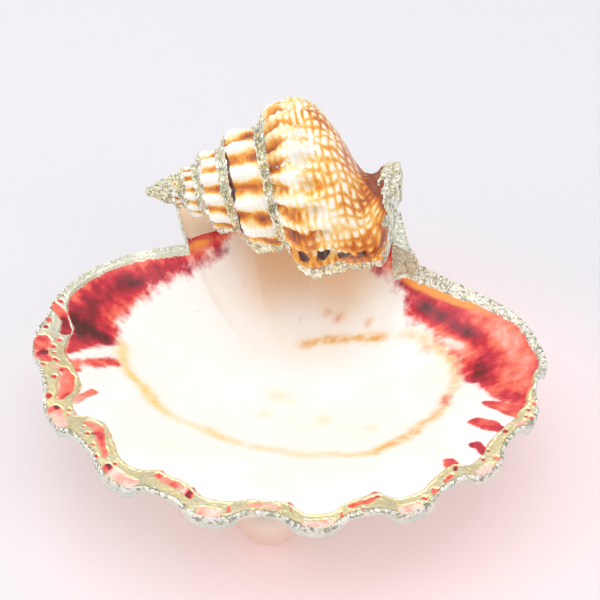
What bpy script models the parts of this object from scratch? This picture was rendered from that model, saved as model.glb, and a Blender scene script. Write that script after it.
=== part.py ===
"""A small dish made of shells, modelled at its real size in metres with +Z up.

One broad-ribbed scallop valve lies hollow side up, on three pearl beads, and a sea snail shell
lies along its hinge. Each piece is one closed solid and one named object.

The shapes are worked out in millimetres in the valve's own frame: x runs along the hinge, y from
the front margin to the hinge and z up from the plane of the rim. The last step turns them into
metres, with the origin under the middle of the whole dish, where it stands.
"""

import bpy
import numpy as np
from mathutils.bvhtree import BVHTree

MM = 0.001

# The dish as a whole, in millimetres
RIM_HEIGHT = 28.5
GAP = 0.3

# The valve: its middle is the deepest point of the bowl
VALVE_MIDDLE = np.array([0.0, 18.0])
UMBO = np.array([0.5, 66.0])
BOWL_DEPTH = 21.5
WALL_MIDDLE = 2.8
WALL_MARGIN = 1.7
EAR_DROP = 0.9
RIB_FIRST = np.radians(0.4)
RIB_PITCH = np.radians(12.4)
RIB_CROWDING = np.radians(-0.28)
RIB_REACH = np.radians(56.0)
RIB_FADE = np.radians(6.0)
RIB_OUTWARD = 1.0
RIB_RIM_DIP = 0.8
RIB_HEIGHT = 2.0

# The margin without ribs, each side from the front to the notch beside its ear
DISC_RIGHT = [(0, -48.4), (15, -47.8), (29, -43.6), (42, -35.8), (53.5, -24), (61, -10.5), (64, 3),
              (64.6, 12), (62.8, 21), (57.5, 29.5), (49.5, 36), (40.5, 41.5), (31, 48)]
DISC_LEFT = [(0, -48.4), (-15, -47.6), (-28.5, -43.2), (-41.5, -34.8), (-53, -23), (-61, -9),
             (-64.4, 4), (-64.8, 13), (-63.4, 22), (-59, 31), (-52, 38.6), (-43.5, 44.2), (-33.5, 49)]
EAR_RIGHT = [(31, 48), (27.5, 55), (24, 69.5)]
EAR_LEFT = [(-39.5, 66), (-37, 58), (-33.5, 49)]
HINGE_SAG = 0.6

# The snail shell: its axis runs from the tip of the spire to the tip of the canal
SPIRE_TIP = np.array([-44.5, 53.0, 12.0])
CANAL_TIP = np.array([23.5, 60.0, 19.5])
WHORL_COUNT = 7
WHORL_GROWTH = 1.5
BODY_SCALE = 46.5
WHORL_FATNESS = 0.575
SPIRE_FATNESS = 0.08
SPIRE_CONE = 0.42
SPIRE_CONE_ENDS = (10.0, 16.0)
BASE_FALL = (1.14, 1.6)
LIP_RADIUS = 0.535
LIP_ANGLE = np.radians(131.0)
LIP_STEP = np.radians(9.0)
LIP_FADE = np.radians(36.0)
KNOBS_PER_TURN = 12
KNOB_HEIGHT = 0.032
CANAL_BEND = 4.0

# The hollow behind the lip: an egg-shaped scoop, placed along and round the axis
SCOOP_ALONG = 47.0
SCOOP_TURN = np.radians(127.0)
SCOOP_FROM_AXIS = 14.5
SCOOP_HALF_SIZES = (13.5, 6.6, 13.0)

# The feet: pearl beads with a small flat ground on the bottom
BEAD_RADIUS = 9.0
BEAD_FLAT_DEPTH = 0.25
FOOT_BEARINGS = {"front": -90.0, "back_right": 65.0, "back_left": 117.0}

# How finely the solids are faceted
MARGIN_STEPS = 132
BOWL_RINGS = (0.16, 0.32, 0.46, 0.6, 0.72, 0.82, 0.91, 1.0)
AXIS_STEPS = 46
TURN_STEPS = 46


def smooth_step(value, low, high):
    """Runs from 0 at low to 1 at high along the curve 3t^2 - 2t^3."""
    t = np.clip((value - low) / (high - low), 0.0, 1.0)
    return t * t * (3.0 - 2.0 * t)


def spline_through(points, steps):
    """A Catmull-Rom curve through the points, with the given number of steps in each stretch."""
    points = np.array(points, dtype=float)
    before = 2.0 * points[0] - points[1]
    after = 2.0 * points[-1] - points[-2]
    padded = np.vstack([before, points, after])
    t = (np.arange(steps) / steps)[:, None]
    pieces = []
    for a, b, c, d in zip(padded, padded[1:], padded[2:], padded[3:]):
        bend = (2.0 * b) + (c - a) * t + (2 * a - 5 * b + 4 * c - d) * t**2
        pieces.append(0.5 * (bend + (3 * b - a - 3 * c + d) * t**3))
    return np.vstack(pieces + [points[-1:]])


def disc_margin():
    """The valve's margin without ribs or ears, which closes at the umbo instead."""
    right = spline_through(DISC_RIGHT, 12)
    left = spline_through(DISC_LEFT, 12)[::-1]
    crown = [(17, 57.5), (8, 63), UMBO, (-7.5, 63.3), (-17, 58.3)]
    return np.vstack([right, crown, left[:-1]])


def bearing_from(middle, points):
    """Angle of each point about the middle, from 0 at the front, growing towards +x."""
    offset = points - middle
    return np.mod(np.arctan2(offset[..., 0], -offset[..., 1]), 2.0 * np.pi)


def disc_reach(bearing):
    """Distance from the middle of the bowl to the margin of the disc, at a bearing."""
    margin = disc_margin()
    bearings = bearing_from(VALVE_MIDDLE, margin)
    order = np.argsort(bearings)
    reach = np.hypot(*(margin - VALVE_MIDDLE).T)
    return np.interp(bearing, bearings[order], reach[order], period=2.0 * np.pi)


def rib_number(x, y):
    """Counts the ribs: whole numbers lie on the ridges of the hollow side, halves in its channels.

    The angle about the umbo is first + pitch n + crowding n^2, so the ribs crowd towards +x.
    """
    angle = np.arctan2(x - UMBO[0], UMBO[1] - y)
    root = np.sqrt(RIB_PITCH**2 + 4.0 * RIB_CROWDING * (angle.clip(-1.4, 1.4) - RIB_FIRST))
    return (root - RIB_PITCH) / (2.0 * RIB_CROWDING), angle


def rib_wave(x, y):
    """+1 along each rib's channel and -1 along the ridge between two, 0 past the last rib.

    It is a cosine of the rib number, flattened towards a trapezium.
    """
    number, angle = rib_number(x, y)
    wave = np.tanh(-1.7 * np.cos(2.0 * np.pi * number)) / np.tanh(1.7)
    return wave * (1.0 - smooth_step(np.abs(angle), RIB_REACH - RIB_FADE, RIB_REACH))


def disc_fraction(x, y):
    """How far a point is from the middle of the bowl, as a share of the way to the margin."""
    there = bearing_from(VALVE_MIDDLE, np.stack([x, y], axis=-1))
    distance = np.hypot(x - VALVE_MIDDLE[0], y - VALVE_MIDDLE[1])
    return distance / disc_reach(there), there


def bowl_height(x, y):
    """Height of the hollow side: -depth (1 - f^m)^p, with f the share of the way to the margin.

    The powers change with the bearing, so the front is a long gentle slope and the back is steep.
    Outside the disc, on the ears, the surface lies just under the plane of the rim.
    """
    share, bearing = disc_fraction(x, y)
    frontness = 0.5 + 0.5 * np.cos(bearing)
    steep = 2.0 + 3.0 * (1.0 - frontness) ** 2.3
    power = 1.0 + frontness**1.7
    inside = np.clip(1.0 - share**steep, 0.0, 1.0)
    ear = EAR_DROP * smooth_step(y, 44.0, 54.0) * smooth_step(share, 0.9, 1.0)
    dip = RIB_RIM_DIP * rib_wave(x, y) * smooth_step(share, 0.55, 1.0)
    return -BOWL_DEPTH * inside**power - ear - dip


def outer_height(x, y):
    """Height of the ribbed underside: the hollow side, less the wall measured straight down."""
    step = 0.25
    slope_x = (bowl_height(x + step, y) - bowl_height(x - step, y)) / (2 * step)
    slope_y = (bowl_height(x, y + step) - bowl_height(x, y - step)) / (2 * step)
    stretch = np.clip(np.sqrt(1.0 + slope_x**2 + slope_y**2), 1.0, 2.6)
    share, _ = disc_fraction(x, y)
    wall = WALL_MIDDLE + (WALL_MARGIN - WALL_MIDDLE) * smooth_step(share, 0.5, 1.0)
    reach = np.hypot(x - UMBO[0], y - UMBO[1]) / 110.0
    rib = RIB_HEIGHT * reach * 0.5 * (1.0 + rib_wave(x, y))
    return bowl_height(x, y) - wall * stretch - rib


def valve_margin():
    """The margin as seen from above, with its rib bumps and both ears, evenly stepped."""
    right = spline_through(DISC_RIGHT, 12)
    left = spline_through(DISC_LEFT, 12)[::-1]
    middle = np.mean([EAR_RIGHT[-1], EAR_LEFT[0]], axis=0) - (0.0, HINGE_SAG)
    corners = [right[:-1], EAR_RIGHT, middle[None, :], EAR_LEFT[:-1], left[:-1]]
    line = np.vstack(corners)
    steps = np.hypot(*np.diff(np.vstack([line, line[:1]]), axis=0).T)
    along = np.concatenate([[0.0], np.cumsum(steps)])
    want = np.arange(MARGIN_STEPS) * along[-1] / MARGIN_STEPS
    closed = np.vstack([line, line[:1]])
    even = np.stack([np.interp(want, along, closed[:, k]) for k in (0, 1)], axis=1)
    outward = even - VALVE_MIDDLE
    outward /= np.hypot(*outward.T)[:, None]
    bump = RIB_OUTWARD * rib_wave(even[:, 0], even[:, 1])
    return even + outward * bump[:, None]


def grid_faces(rows, columns, first=0, flip=False):
    """Quads between rows of points, each row closed on itself."""
    faces = []
    for row in range(rows - 1):
        for column in range(columns):
            after = (column + 1) % columns
            a = first + row * columns + column
            b = first + row * columns + after
            face = (a, b, b + columns, a + columns)
            faces.append(face[::-1] if flip else face)
    return faces


def new_object(name, points, faces, material):
    """Makes one smooth shaded object from points in millimetres."""
    mesh = bpy.data.meshes.new(name)
    mesh.from_pydata([tuple(p) for p in np.asarray(points) * MM], [], faces)
    mesh.validate()
    mesh.shade_smooth()
    mesh.set_sharp_from_angle(angle=np.radians(50.0))
    mesh.materials.append(material)
    made = bpy.data.objects.new(name, mesh)
    bpy.context.scene.collection.objects.link(made)
    return made


def plain_material(name, colour, roughness, metallic=0.0):
    material = bpy.data.materials.new(name)
    material.use_nodes = True
    shader = material.node_tree.nodes["Principled BSDF"]
    shader.inputs["Base Color"].default_value = (*colour, 1.0)
    shader.inputs["Roughness"].default_value = roughness
    shader.inputs["Metallic"].default_value = metallic
    return material


def build_valve():
    """The valve: rings of points from the middle of the bowl to the margin, above and below."""
    margin = valve_margin()
    whole = np.hypot(*(margin - VALVE_MIDDLE).T)
    outward = (margin - VALVE_MIDDLE) / whole[:, None]
    disc = np.minimum(disc_reach(bearing_from(VALVE_MIDDLE, margin)), whole)
    on_ear = smooth_step(whole / disc, 1.03, 1.12)
    shares = np.array(BOWL_RINGS)[:, None] * np.ones_like(disc)
    shares[-2] += (1.0 - shares[-2]) * on_ear
    reach = shares * disc
    reach[-1] = whole
    plan = (VALVE_MIDDLE + reach[..., None] * outward).reshape(-1, 2)
    inner = np.column_stack([plan, bowl_height(plan[:, 0], plan[:, 1])])
    outer = np.column_stack([plan, outer_height(plan[:, 0], plan[:, 1])])
    middle = VALVE_MIDDLE[None, :]
    inner_pole = np.column_stack([middle, bowl_height(middle[:, 0], middle[:, 1])])
    outer_pole = np.column_stack([middle, outer_height(middle[:, 0], middle[:, 1])])
    points = np.vstack([inner, outer, inner_pole, outer_pole])

    below = len(inner)
    rows = len(BOWL_RINGS)
    faces = grid_faces(rows, MARGIN_STEPS, flip=True)
    faces += grid_faces(rows, MARGIN_STEPS, first=below)
    last = (rows - 1) * MARGIN_STEPS
    for column in range(MARGIN_STEPS):
        after = (column + 1) % MARGIN_STEPS
        faces.append((last + column, below + last + column, below + last + after, last + after))
        faces.append((2 * below, column, after))
        faces.append((2 * below + 1, below + after, below + column))
    pearly = plain_material("shell_white_and_red", (0.93, 0.82, 0.76), 0.18)
    return new_object("scallop_valve", points, faces, pearly)


def whorl_profile(u):
    """Radius of one whorl over its scale, at the place u along the axis over the scale.

    It is a round shoulder up to u = 1, and past that a base which falls to the thin canal.
    """
    shoulder = np.sqrt(np.clip(1.0 - ((1.0 - u) / 0.25) ** 2, 0.0, 1.0))
    base = 1.0 - 0.86 * smooth_step(u, *BASE_FALL)
    return WHORL_FATNESS * np.where(u < 1.0, shoulder, base)


def lip_nearness(turn_before_lip):
    """1 at the lip, fading over the last eighth of a turn as a bell curve."""
    return np.exp(-((turn_before_lip / LIP_FADE) ** 2))


def lip_flare(u, turn_before_lip):
    """What the outer lip adds to the base of the body whorl, over its last quarter turn.

    At the lip itself the radius stays nearly level almost to the canal.
    """
    width = smooth_step(u, 0.95, 1.1) * (1.0 - smooth_step(u, 1.34, 1.47))
    return lip_nearness(turn_before_lip) * width * (LIP_RADIUS - whorl_profile(u))


def snail_radius(turn, along):
    """Radius about the axis: the largest of all whorls there, each one smaller than the next.

    turn grows from the top over the front to the lip. The scale of the spiral falls by the
    whorl growth with each full turn back from the lip.
    """
    back = np.mod(LIP_ANGLE - turn, 2.0 * np.pi)
    cone = SPIRE_CONE * along * (1.0 - smooth_step(along, *SPIRE_CONE_ENDS))
    radius = np.maximum(cone, 0.25) * np.ones_like(turn)
    for whorl in range(WHORL_COUNT):
        turns_back = back / (2.0 * np.pi) + whorl
        scale = BODY_SCALE * WHORL_GROWTH**-turns_back
        u = along / scale
        spire = np.sin(np.pi * np.clip((turns_back - 0.4) / 3.2, 0.0, 1.0))
        profile = whorl_profile(u) * (1.0 + SPIRE_FATNESS * spire)
        if whorl == 0:
            profile = profile + lip_flare(u, back)
        wave = np.cos(KNOBS_PER_TURN * turns_back * 2.0 * np.pi)
        row = np.exp(-(((u - 0.86) / 0.05) ** 2)) + 0.8 * np.exp(-(((u - 1.05) / 0.05) ** 2))
        profile = profile + KNOB_HEIGHT * row * np.maximum(wave, -0.3) * (profile > 0.1)
        radius = np.maximum(radius, scale * profile)
    return radius


def snail_frame():
    """Unit directions of the snail shell's axis, of its top side and of its front side."""
    axis = CANAL_TIP - SPIRE_TIP
    length = np.linalg.norm(axis)
    axis = axis / length
    front = np.cross((0.0, 0.0, 1.0), axis) * -1.0
    front /= np.linalg.norm(front)
    top = np.cross(front, axis)
    top *= np.sign(top[2])
    return axis, top, front, length


def snail_surface():
    """Rows of points round the axis, from the spire to the canal, lifted clear of the valve."""
    axis, top, front, length = snail_frame()
    share = np.linspace(0.0, 1.0, AXIS_STEPS) ** 1.15
    along = (0.6 + (length - 0.6) * share)[:, None]
    turn = LIP_ANGLE + LIP_STEP + np.linspace(0.0, 1.0, TURN_STEPS) * (2 * np.pi - LIP_STEP)
    turn = turn[None, :]
    radius = snail_radius(np.minimum(turn, LIP_ANGLE + 2 * np.pi - 1e-6), along)
    bend = CANAL_BEND * np.sin(np.pi * smooth_step(along, 0.72 * length, length)) ** 2
    bend = bend * (1.0 - lip_nearness(np.mod(LIP_ANGLE - turn, 2 * np.pi)))
    centre = SPIRE_TIP + along[..., None] * axis - bend[..., None] * (top + front * -0.2)
    outward = np.cos(turn)[..., None] * top + np.sin(turn)[..., None] * front
    points = centre + radius[..., None] * outward
    x, y = points[..., 0], points[..., 1]
    on_valve = (np.abs(x) < 60.0) & (y < 69.0)
    floor = bowl_height(x, y) + GAP + 0.5
    points[..., 2] = np.where(on_valve, np.maximum(points[..., 2], floor), points[..., 2])
    return points


def build_snail():
    """The snail shell, closed at both tips and scooped out behind its lip."""
    rows = snail_surface()
    axis, top, front, length = snail_frame()
    tips = np.array([SPIRE_TIP, SPIRE_TIP + axis * (length + 0.8)])
    points = np.vstack([rows.reshape(-1, 3), tips])
    faces = grid_faces(AXIS_STEPS, TURN_STEPS)
    first_tip = AXIS_STEPS * TURN_STEPS
    last_row = (AXIS_STEPS - 1) * TURN_STEPS
    for column in range(TURN_STEPS):
        after = (column + 1) % TURN_STEPS
        faces.append((first_tip, after, column))
        faces.append((first_tip + 1, last_row + column, last_row + after))
    brown = plain_material("shell_brown_and_white", (0.82, 0.55, 0.27), 0.35)
    snail = new_object("snail_shell", points, faces, brown)

    outward = np.cos(SCOOP_TURN) * top + np.sin(SCOOP_TURN) * front
    onward = np.cos(SCOOP_TURN) * front - np.sin(SCOOP_TURN) * top
    bpy.ops.mesh.primitive_uv_sphere_add(segments=20, ring_count=12, radius=1.0)
    scoop = bpy.context.object
    scoop.name = "aperture_cutter"
    ball = np.array([v.co for v in scoop.data.vertices]) * SCOOP_HALF_SIZES
    middle = SPIRE_TIP + SCOOP_ALONG * axis + SCOOP_FROM_AXIS * outward
    placed = middle + ball @ np.array([axis, outward, onward])
    scoop.data.vertices.foreach_set("co", (placed * MM).astype(np.float32).ravel())
    scoop.data.update()
    cut = snail.modifiers.new("aperture", "BOOLEAN")
    cut.operation = "DIFFERENCE"
    cut.object = scoop
    baked = bpy.data.meshes.new_from_object(snail.evaluated_get(bpy.context.evaluated_depsgraph_get()))
    snail.modifiers.clear()
    snail.data = baked
    bpy.data.objects.remove(scoop, do_unlink=True)
    return snail


def build_foot(name, bearing, valve):
    """A pearl bead, moved outwards under the valve until only the gap is left between them."""
    direction = np.array([np.cos(np.radians(bearing)), np.sin(np.radians(bearing))])
    tree = BVHTree.FromPolygons(
        [v.co / MM for v in valve.data.vertices], [tuple(f.vertices) for f in valve.data.polygons]
    )
    height = BEAD_RADIUS - RIM_HEIGHT
    near, far = 20.0, 75.0
    for _ in range(40):
        reach = (near + far) / 2
        spot = (*(VALVE_MIDDLE + direction * reach), height)
        distance = tree.find_nearest(spot)[3]
        if distance < BEAD_RADIUS + GAP:
            near = reach
        else:
            far = reach
    x, y = VALVE_MIDDLE + direction * far
    rings, columns = 9, 18
    lowest = np.arccos(-(BEAD_RADIUS - BEAD_FLAT_DEPTH) / BEAD_RADIUS)
    polar = np.linspace(0.0, lowest, rings + 1)[1:, None]
    round_ = np.arange(columns)[None, :] * 2 * np.pi / columns
    ball = np.stack(
        [
            np.sin(polar) * np.cos(round_),
            np.sin(polar) * np.sin(round_),
            np.cos(polar) * np.ones_like(round_),
        ],
        axis=-1,
    )
    shift = np.array([x, y, height - BEAD_FLAT_DEPTH])
    points = np.vstack([ball.reshape(-1, 3), (0.0, 0.0, 1.0)]) * BEAD_RADIUS + shift
    faces = grid_faces(rings, columns, flip=True)
    crown = rings * columns
    faces += [(crown, c, (c + 1) % columns) for c in range(columns)]
    faces.append(tuple(range(crown - 1, crown - columns - 1, -1)))
    pearl = plain_material("pearl_" + name, (0.9, 0.78, 0.7), 0.22)
    return new_object("pearl_foot_" + name, points, faces, pearl)


def stand_on_origin(objects):
    """Moves every mesh so that the dish stands on z = 0 with the origin under its middle."""
    corners = np.array([v.co for made in objects for v in made.data.vertices])
    low, high = corners.min(axis=0), corners.max(axis=0)
    shift = -np.array([(low[0] + high[0]) / 2, (low[1] + high[1]) / 2, low[2]])
    for made in objects:
        points = np.array([v.co for v in made.data.vertices]) + shift
        made.data.vertices.foreach_set("co", points.astype(np.float32).ravel())
        made.data.update()


def main():
    for old in list(bpy.data.objects):
        bpy.data.objects.remove(old, do_unlink=True)
    valve = build_valve()
    snail = build_snail()
    feet = [build_foot(name, bearing, valve) for name, bearing in FOOT_BEARINGS.items()]
    stand_on_origin([valve, snail, *feet])


if __name__ == "__main__":
    main()
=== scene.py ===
"""Dresses the shell dish: a gilded scallop valve on three pearls, with a sea snail shell on its hinge.

Shapes are worked out in millimetres in the valve's own frame, as in the part's source: x runs along
the hinge, y from the front margin to the hinge and z up from the plane of the rim. make_piece turns
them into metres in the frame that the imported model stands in.
"""

import bpy
import numpy as np
from mathutils import Matrix, Vector


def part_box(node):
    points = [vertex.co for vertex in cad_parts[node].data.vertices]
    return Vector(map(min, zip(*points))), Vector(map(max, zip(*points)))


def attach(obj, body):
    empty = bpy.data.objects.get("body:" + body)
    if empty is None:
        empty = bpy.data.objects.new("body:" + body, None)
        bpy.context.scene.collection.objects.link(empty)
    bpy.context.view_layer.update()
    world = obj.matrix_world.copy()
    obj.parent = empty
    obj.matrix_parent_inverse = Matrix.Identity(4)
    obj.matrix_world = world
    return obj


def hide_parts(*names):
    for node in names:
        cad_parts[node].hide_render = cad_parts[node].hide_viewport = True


bl_info = {
    "name": "Shell dish",
    "version": (1, 0, 0),
    "blender": (4, 5, 0),
    "location": "View3D > Sidebar > Shell dish",
    "description": "Builds the finished surfaces of a gilded dish made of shells",
    "category": "Object",
}

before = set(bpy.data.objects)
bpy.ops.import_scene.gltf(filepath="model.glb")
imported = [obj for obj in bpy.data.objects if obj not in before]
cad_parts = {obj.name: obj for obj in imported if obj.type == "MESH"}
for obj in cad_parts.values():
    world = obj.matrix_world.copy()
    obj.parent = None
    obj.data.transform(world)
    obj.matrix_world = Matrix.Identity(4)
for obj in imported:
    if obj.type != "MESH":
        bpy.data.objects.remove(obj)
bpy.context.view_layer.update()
MM = 0.001
TURN = 2.0 * np.pi

# The place over the bowl that the camera looks at, and the points in the solid's own margin
VIEW_MIDDLE = np.array([0.6, 28.1, 0.0])
SOLID_MARGIN_POINTS = 132

# Where the rounding of the rim starts inside the margin, how far it bulges, and leaf metalness
EDGE_INSET = 0.35
EDGE_BULGE = 0.33
LEAF_METALLIC = 0.78

# The valve, with the same driving values as its solid
RIM_HEIGHT = 28.5
GAP = 0.3
VALVE_MIDDLE = np.array([0.0, 18.0])
UMBO = np.array([0.5, 66.0])
EAR_DROP = 0.9
RIB_FIRST = np.radians(0.4)
RIB_PITCH = np.radians(12.4)
RIB_CROWDING = np.radians(-0.28)
RIB_REACH = np.radians(56.0)
RIB_FADE = np.radians(6.0)
RIB_OUTWARD = 1.0
RIB_RIM_DIP = 0.8
DISC_RIGHT = [
    (0, -48.4), (15, -47.8), (29, -43.6), (42, -35.8), (53.5, -24), (61, -10.5), (64, 3),
    (64.6, 12), (62.8, 21), (57.5, 29.5), (49.5, 36), (40.5, 41.5), (31, 48),
]
DISC_LEFT = [
    (0, -48.4), (-15, -47.6), (-28.5, -43.2), (-41.5, -34.8), (-53, -23), (-61, -9), (-64.4, 4),
    (-64.8, 13), (-63.4, 22), (-59, 31), (-52, 38.6), (-43.5, 44.2), (-33.5, 49),
]
EAR_RIGHT = [(31, 48), (27.5, 55), (24, 69.5)]
EAR_LEFT = [(-39.5, 66), (-37, 58), (-33.5, 49)]
HINGE_SAG = 0.6

# The snail shell, with the same driving values as its solid
SPIRE_TIP = np.array([-44.5, 53.0, 12.0])
CANAL_TIP = np.array([23.5, 60.0, 19.5])
WHORL_COUNT = 7
WHORL_GROWTH = 1.5
BODY_SCALE = 46.5
WHORL_FATNESS = 0.575
SPIRE_FATNESS = 0.08
SPIRE_CONE = 0.42
SPIRE_CONE_ENDS = (10.0, 16.0)
BASE_FALL = (1.14, 1.6)
LIP_RADIUS = 0.535
LIP_ANGLE = np.radians(131.0)
LIP_STEP = np.radians(9.0)
LIP_FADE = np.radians(36.0)
KNOBS_PER_TURN = 12
BODY_KNOBS = 22
CANAL_BEND = 4.0

# Places along the margin are given in rib units of this angle about the umbo
RIB_UNIT = np.radians(11.2)

# Inner edge of the gilding: (rib units from the front, millimetres from the margin)
GILDING_EDGE = [
    (-16, 1.5), (-8.2, 2.0), (-7.6, 2.2), (-5.9, 2.2), (-5.6, 2.4), (-5.3, 2.8), (-5.1, 2.8), (-5.0, 3.5),
    (-4.75, 5), (-4.6, 7), (-4.35, 8.7), (-4.1, 8.6), (-3.9, 9.2), (-3.75, 9.4), (-3.6, 9.5), (-3.4, 10),
    (-3.1, 8), (-3, 7.3), (-2.8, 7), (-2.7, 9), (-2.5, 10), (-2.3, 9), (-2.15, 7.8), (-2, 7.3), (-1.75, 7),
    (-1.35, 8.3), (-1.2, 7.5), (-0.75, 7), (-0.35, 6.5), (-0.2, 5.5), (0, 4.8), (0.2, 5.5), (0.33, 6.3),
    (0.5, 5), (0.85, 5), (1.25, 6.5), (1.35, 7.5), (1.5, 6.3), (1.8, 5.5), (2, 4.8), (2.35, 6.5), (2.5, 5.3),
    (2.85, 5.8), (3, 5), (3.25, 4), (3.65, 5.5), (3.8, 3.5), (4, 1.6), (4.3, 2.8), (5.0, 2.6), (5.3, 3.2),
    (5.5, 4.0), (5.9, 7.0), (7.8, 7.0), (8.8, 3.0), (10, 1.5), (16, 1.5),
]

# Windows in the gilding, each a chain of round strokes: (rib units, millimetres in, half width)
WINDOWS = [
    [(-4.77, 1.6, 1.2), (-4.70, 3.6, 1.5), (-4.62, 4.9, 1.1), (-4.47, 6.3, 1.2)],
    [(-4.24, 2.8, 2.2), (-4.0, 2.5, 1.9), (-3.87, 2.9, 2.1)],
    [(-3.62, 6.4, 1.5), (-3.5, 7.0, 1.8), (-3.32, 6.0, 2.0), (-3.18, 4.9, 1.2)],
    [(-3.67, 5.0, 0.7), (-3.63, 3.7, 0.5)],
    [(-2.98, 2.7, 1.9), (-2.84, 2.2, 1.7), (-2.71, 2.0, 1.4)],
    [(-2.55, 6.9, 1.2), (-2.4, 7.2, 1.3), (-2.25, 5.6, 1.1), (-2.1, 4.2, 0.9), (-2.0, 3.9, 0.8)],
    [(-1.84, 2.6, 1.3), (-1.65, 2.4, 1.7), (-1.48, 2.3, 1.6)],
    [(-1.3, 6.3, 0.8), (-1.15, 5.4, 1.1), (-0.95, 5.2, 1.1), (-0.84, 5.0, 1.3)],
    [(-0.62, 2.2, 1.4), (-0.47, 2.2, 1.4)],
    [(-0.36, 4.9, 0.35), (-0.34, 3.0, 0.4)],
    [(-0.12, 3.3, 0.8), (0.18, 3.2, 0.9)],
    [(0.33, 4.3, 0.45), (0.33, 5.5, 0.35)],
    [(0.5, 1.6, 1.1), (0.75, 1.6, 1.1)],
    [(0.87, 1.8, 0.45), (0.87, 3.1, 0.4)],
    [(1.0, 3.9, 0.8), (1.2, 4.4, 0.7), (1.33, 5.9, 0.45)],
    [(1.53, 1.9, 1.2), (1.7, 1.8, 1.2)],
    [(1.8, 3.4, 0.5), (1.82, 2.6, 0.4)],
    [(1.93, 2.4, 0.8), (1.96, 1.4, 0.5)],
    [(2.1, 2.5, 0.6), (2.2, 2.8, 0.6)],
    [(2.3, 4.2, 0.45), (2.36, 5.4, 0.4)],
    [(2.53, 1.9, 1.1), (2.7, 1.8, 1.0)],
    [(2.82, 2.5, 0.55), (2.83, 1.3, 0.45)],
    [(3.33, 2.4, 0.6), (3.5, 2.8, 0.7)],
]

# Small round holes in the gilding: (rib units, millimetres in, half width)
HOLES = [
    (-4.9, 2.1, 0.6), (-5.0, 1.7, 0.4), (-4.85, 0.5, 0.4), (-4.53, 1.4, 0.6), (-4.45, 1.9, 0.6),
    (-4.33, 6.5, 0.75), (-4.17, 5.6, 0.85), (-4.02, 5.8, 0.6), (-3.83, 5.5, 0.8), (-3.7, 1.6, 0.6),
    (-3.47, 3.6, 0.8), (-3.2, 1.9, 0.8), (-2.5, 4.6, 0.5), (-2.33, 4.9, 0.6), (-2.36, 3.6, 0.55),
    (-2.17, 2.5, 0.55), (-2.02, 1.4, 0.5), (-1.84, 5.0, 0.45), (-2.95, 6.2, 0.4), (-2.86, 5.3, 0.35),
    (3.6, 3.0, 0.45), (3.6, 1.4, 0.5), (3.71, 3.0, 0.6), (3.8, 1.6, 0.5), (2.73, 4.5, 0.4),
    (2.87, 4.9, 0.4), (3.17, 3.0, 0.6), (-0.08, 1.2, 0.35), (1.1, 2.0, 0.35), (2.45, 3.6, 0.35),
]

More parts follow.
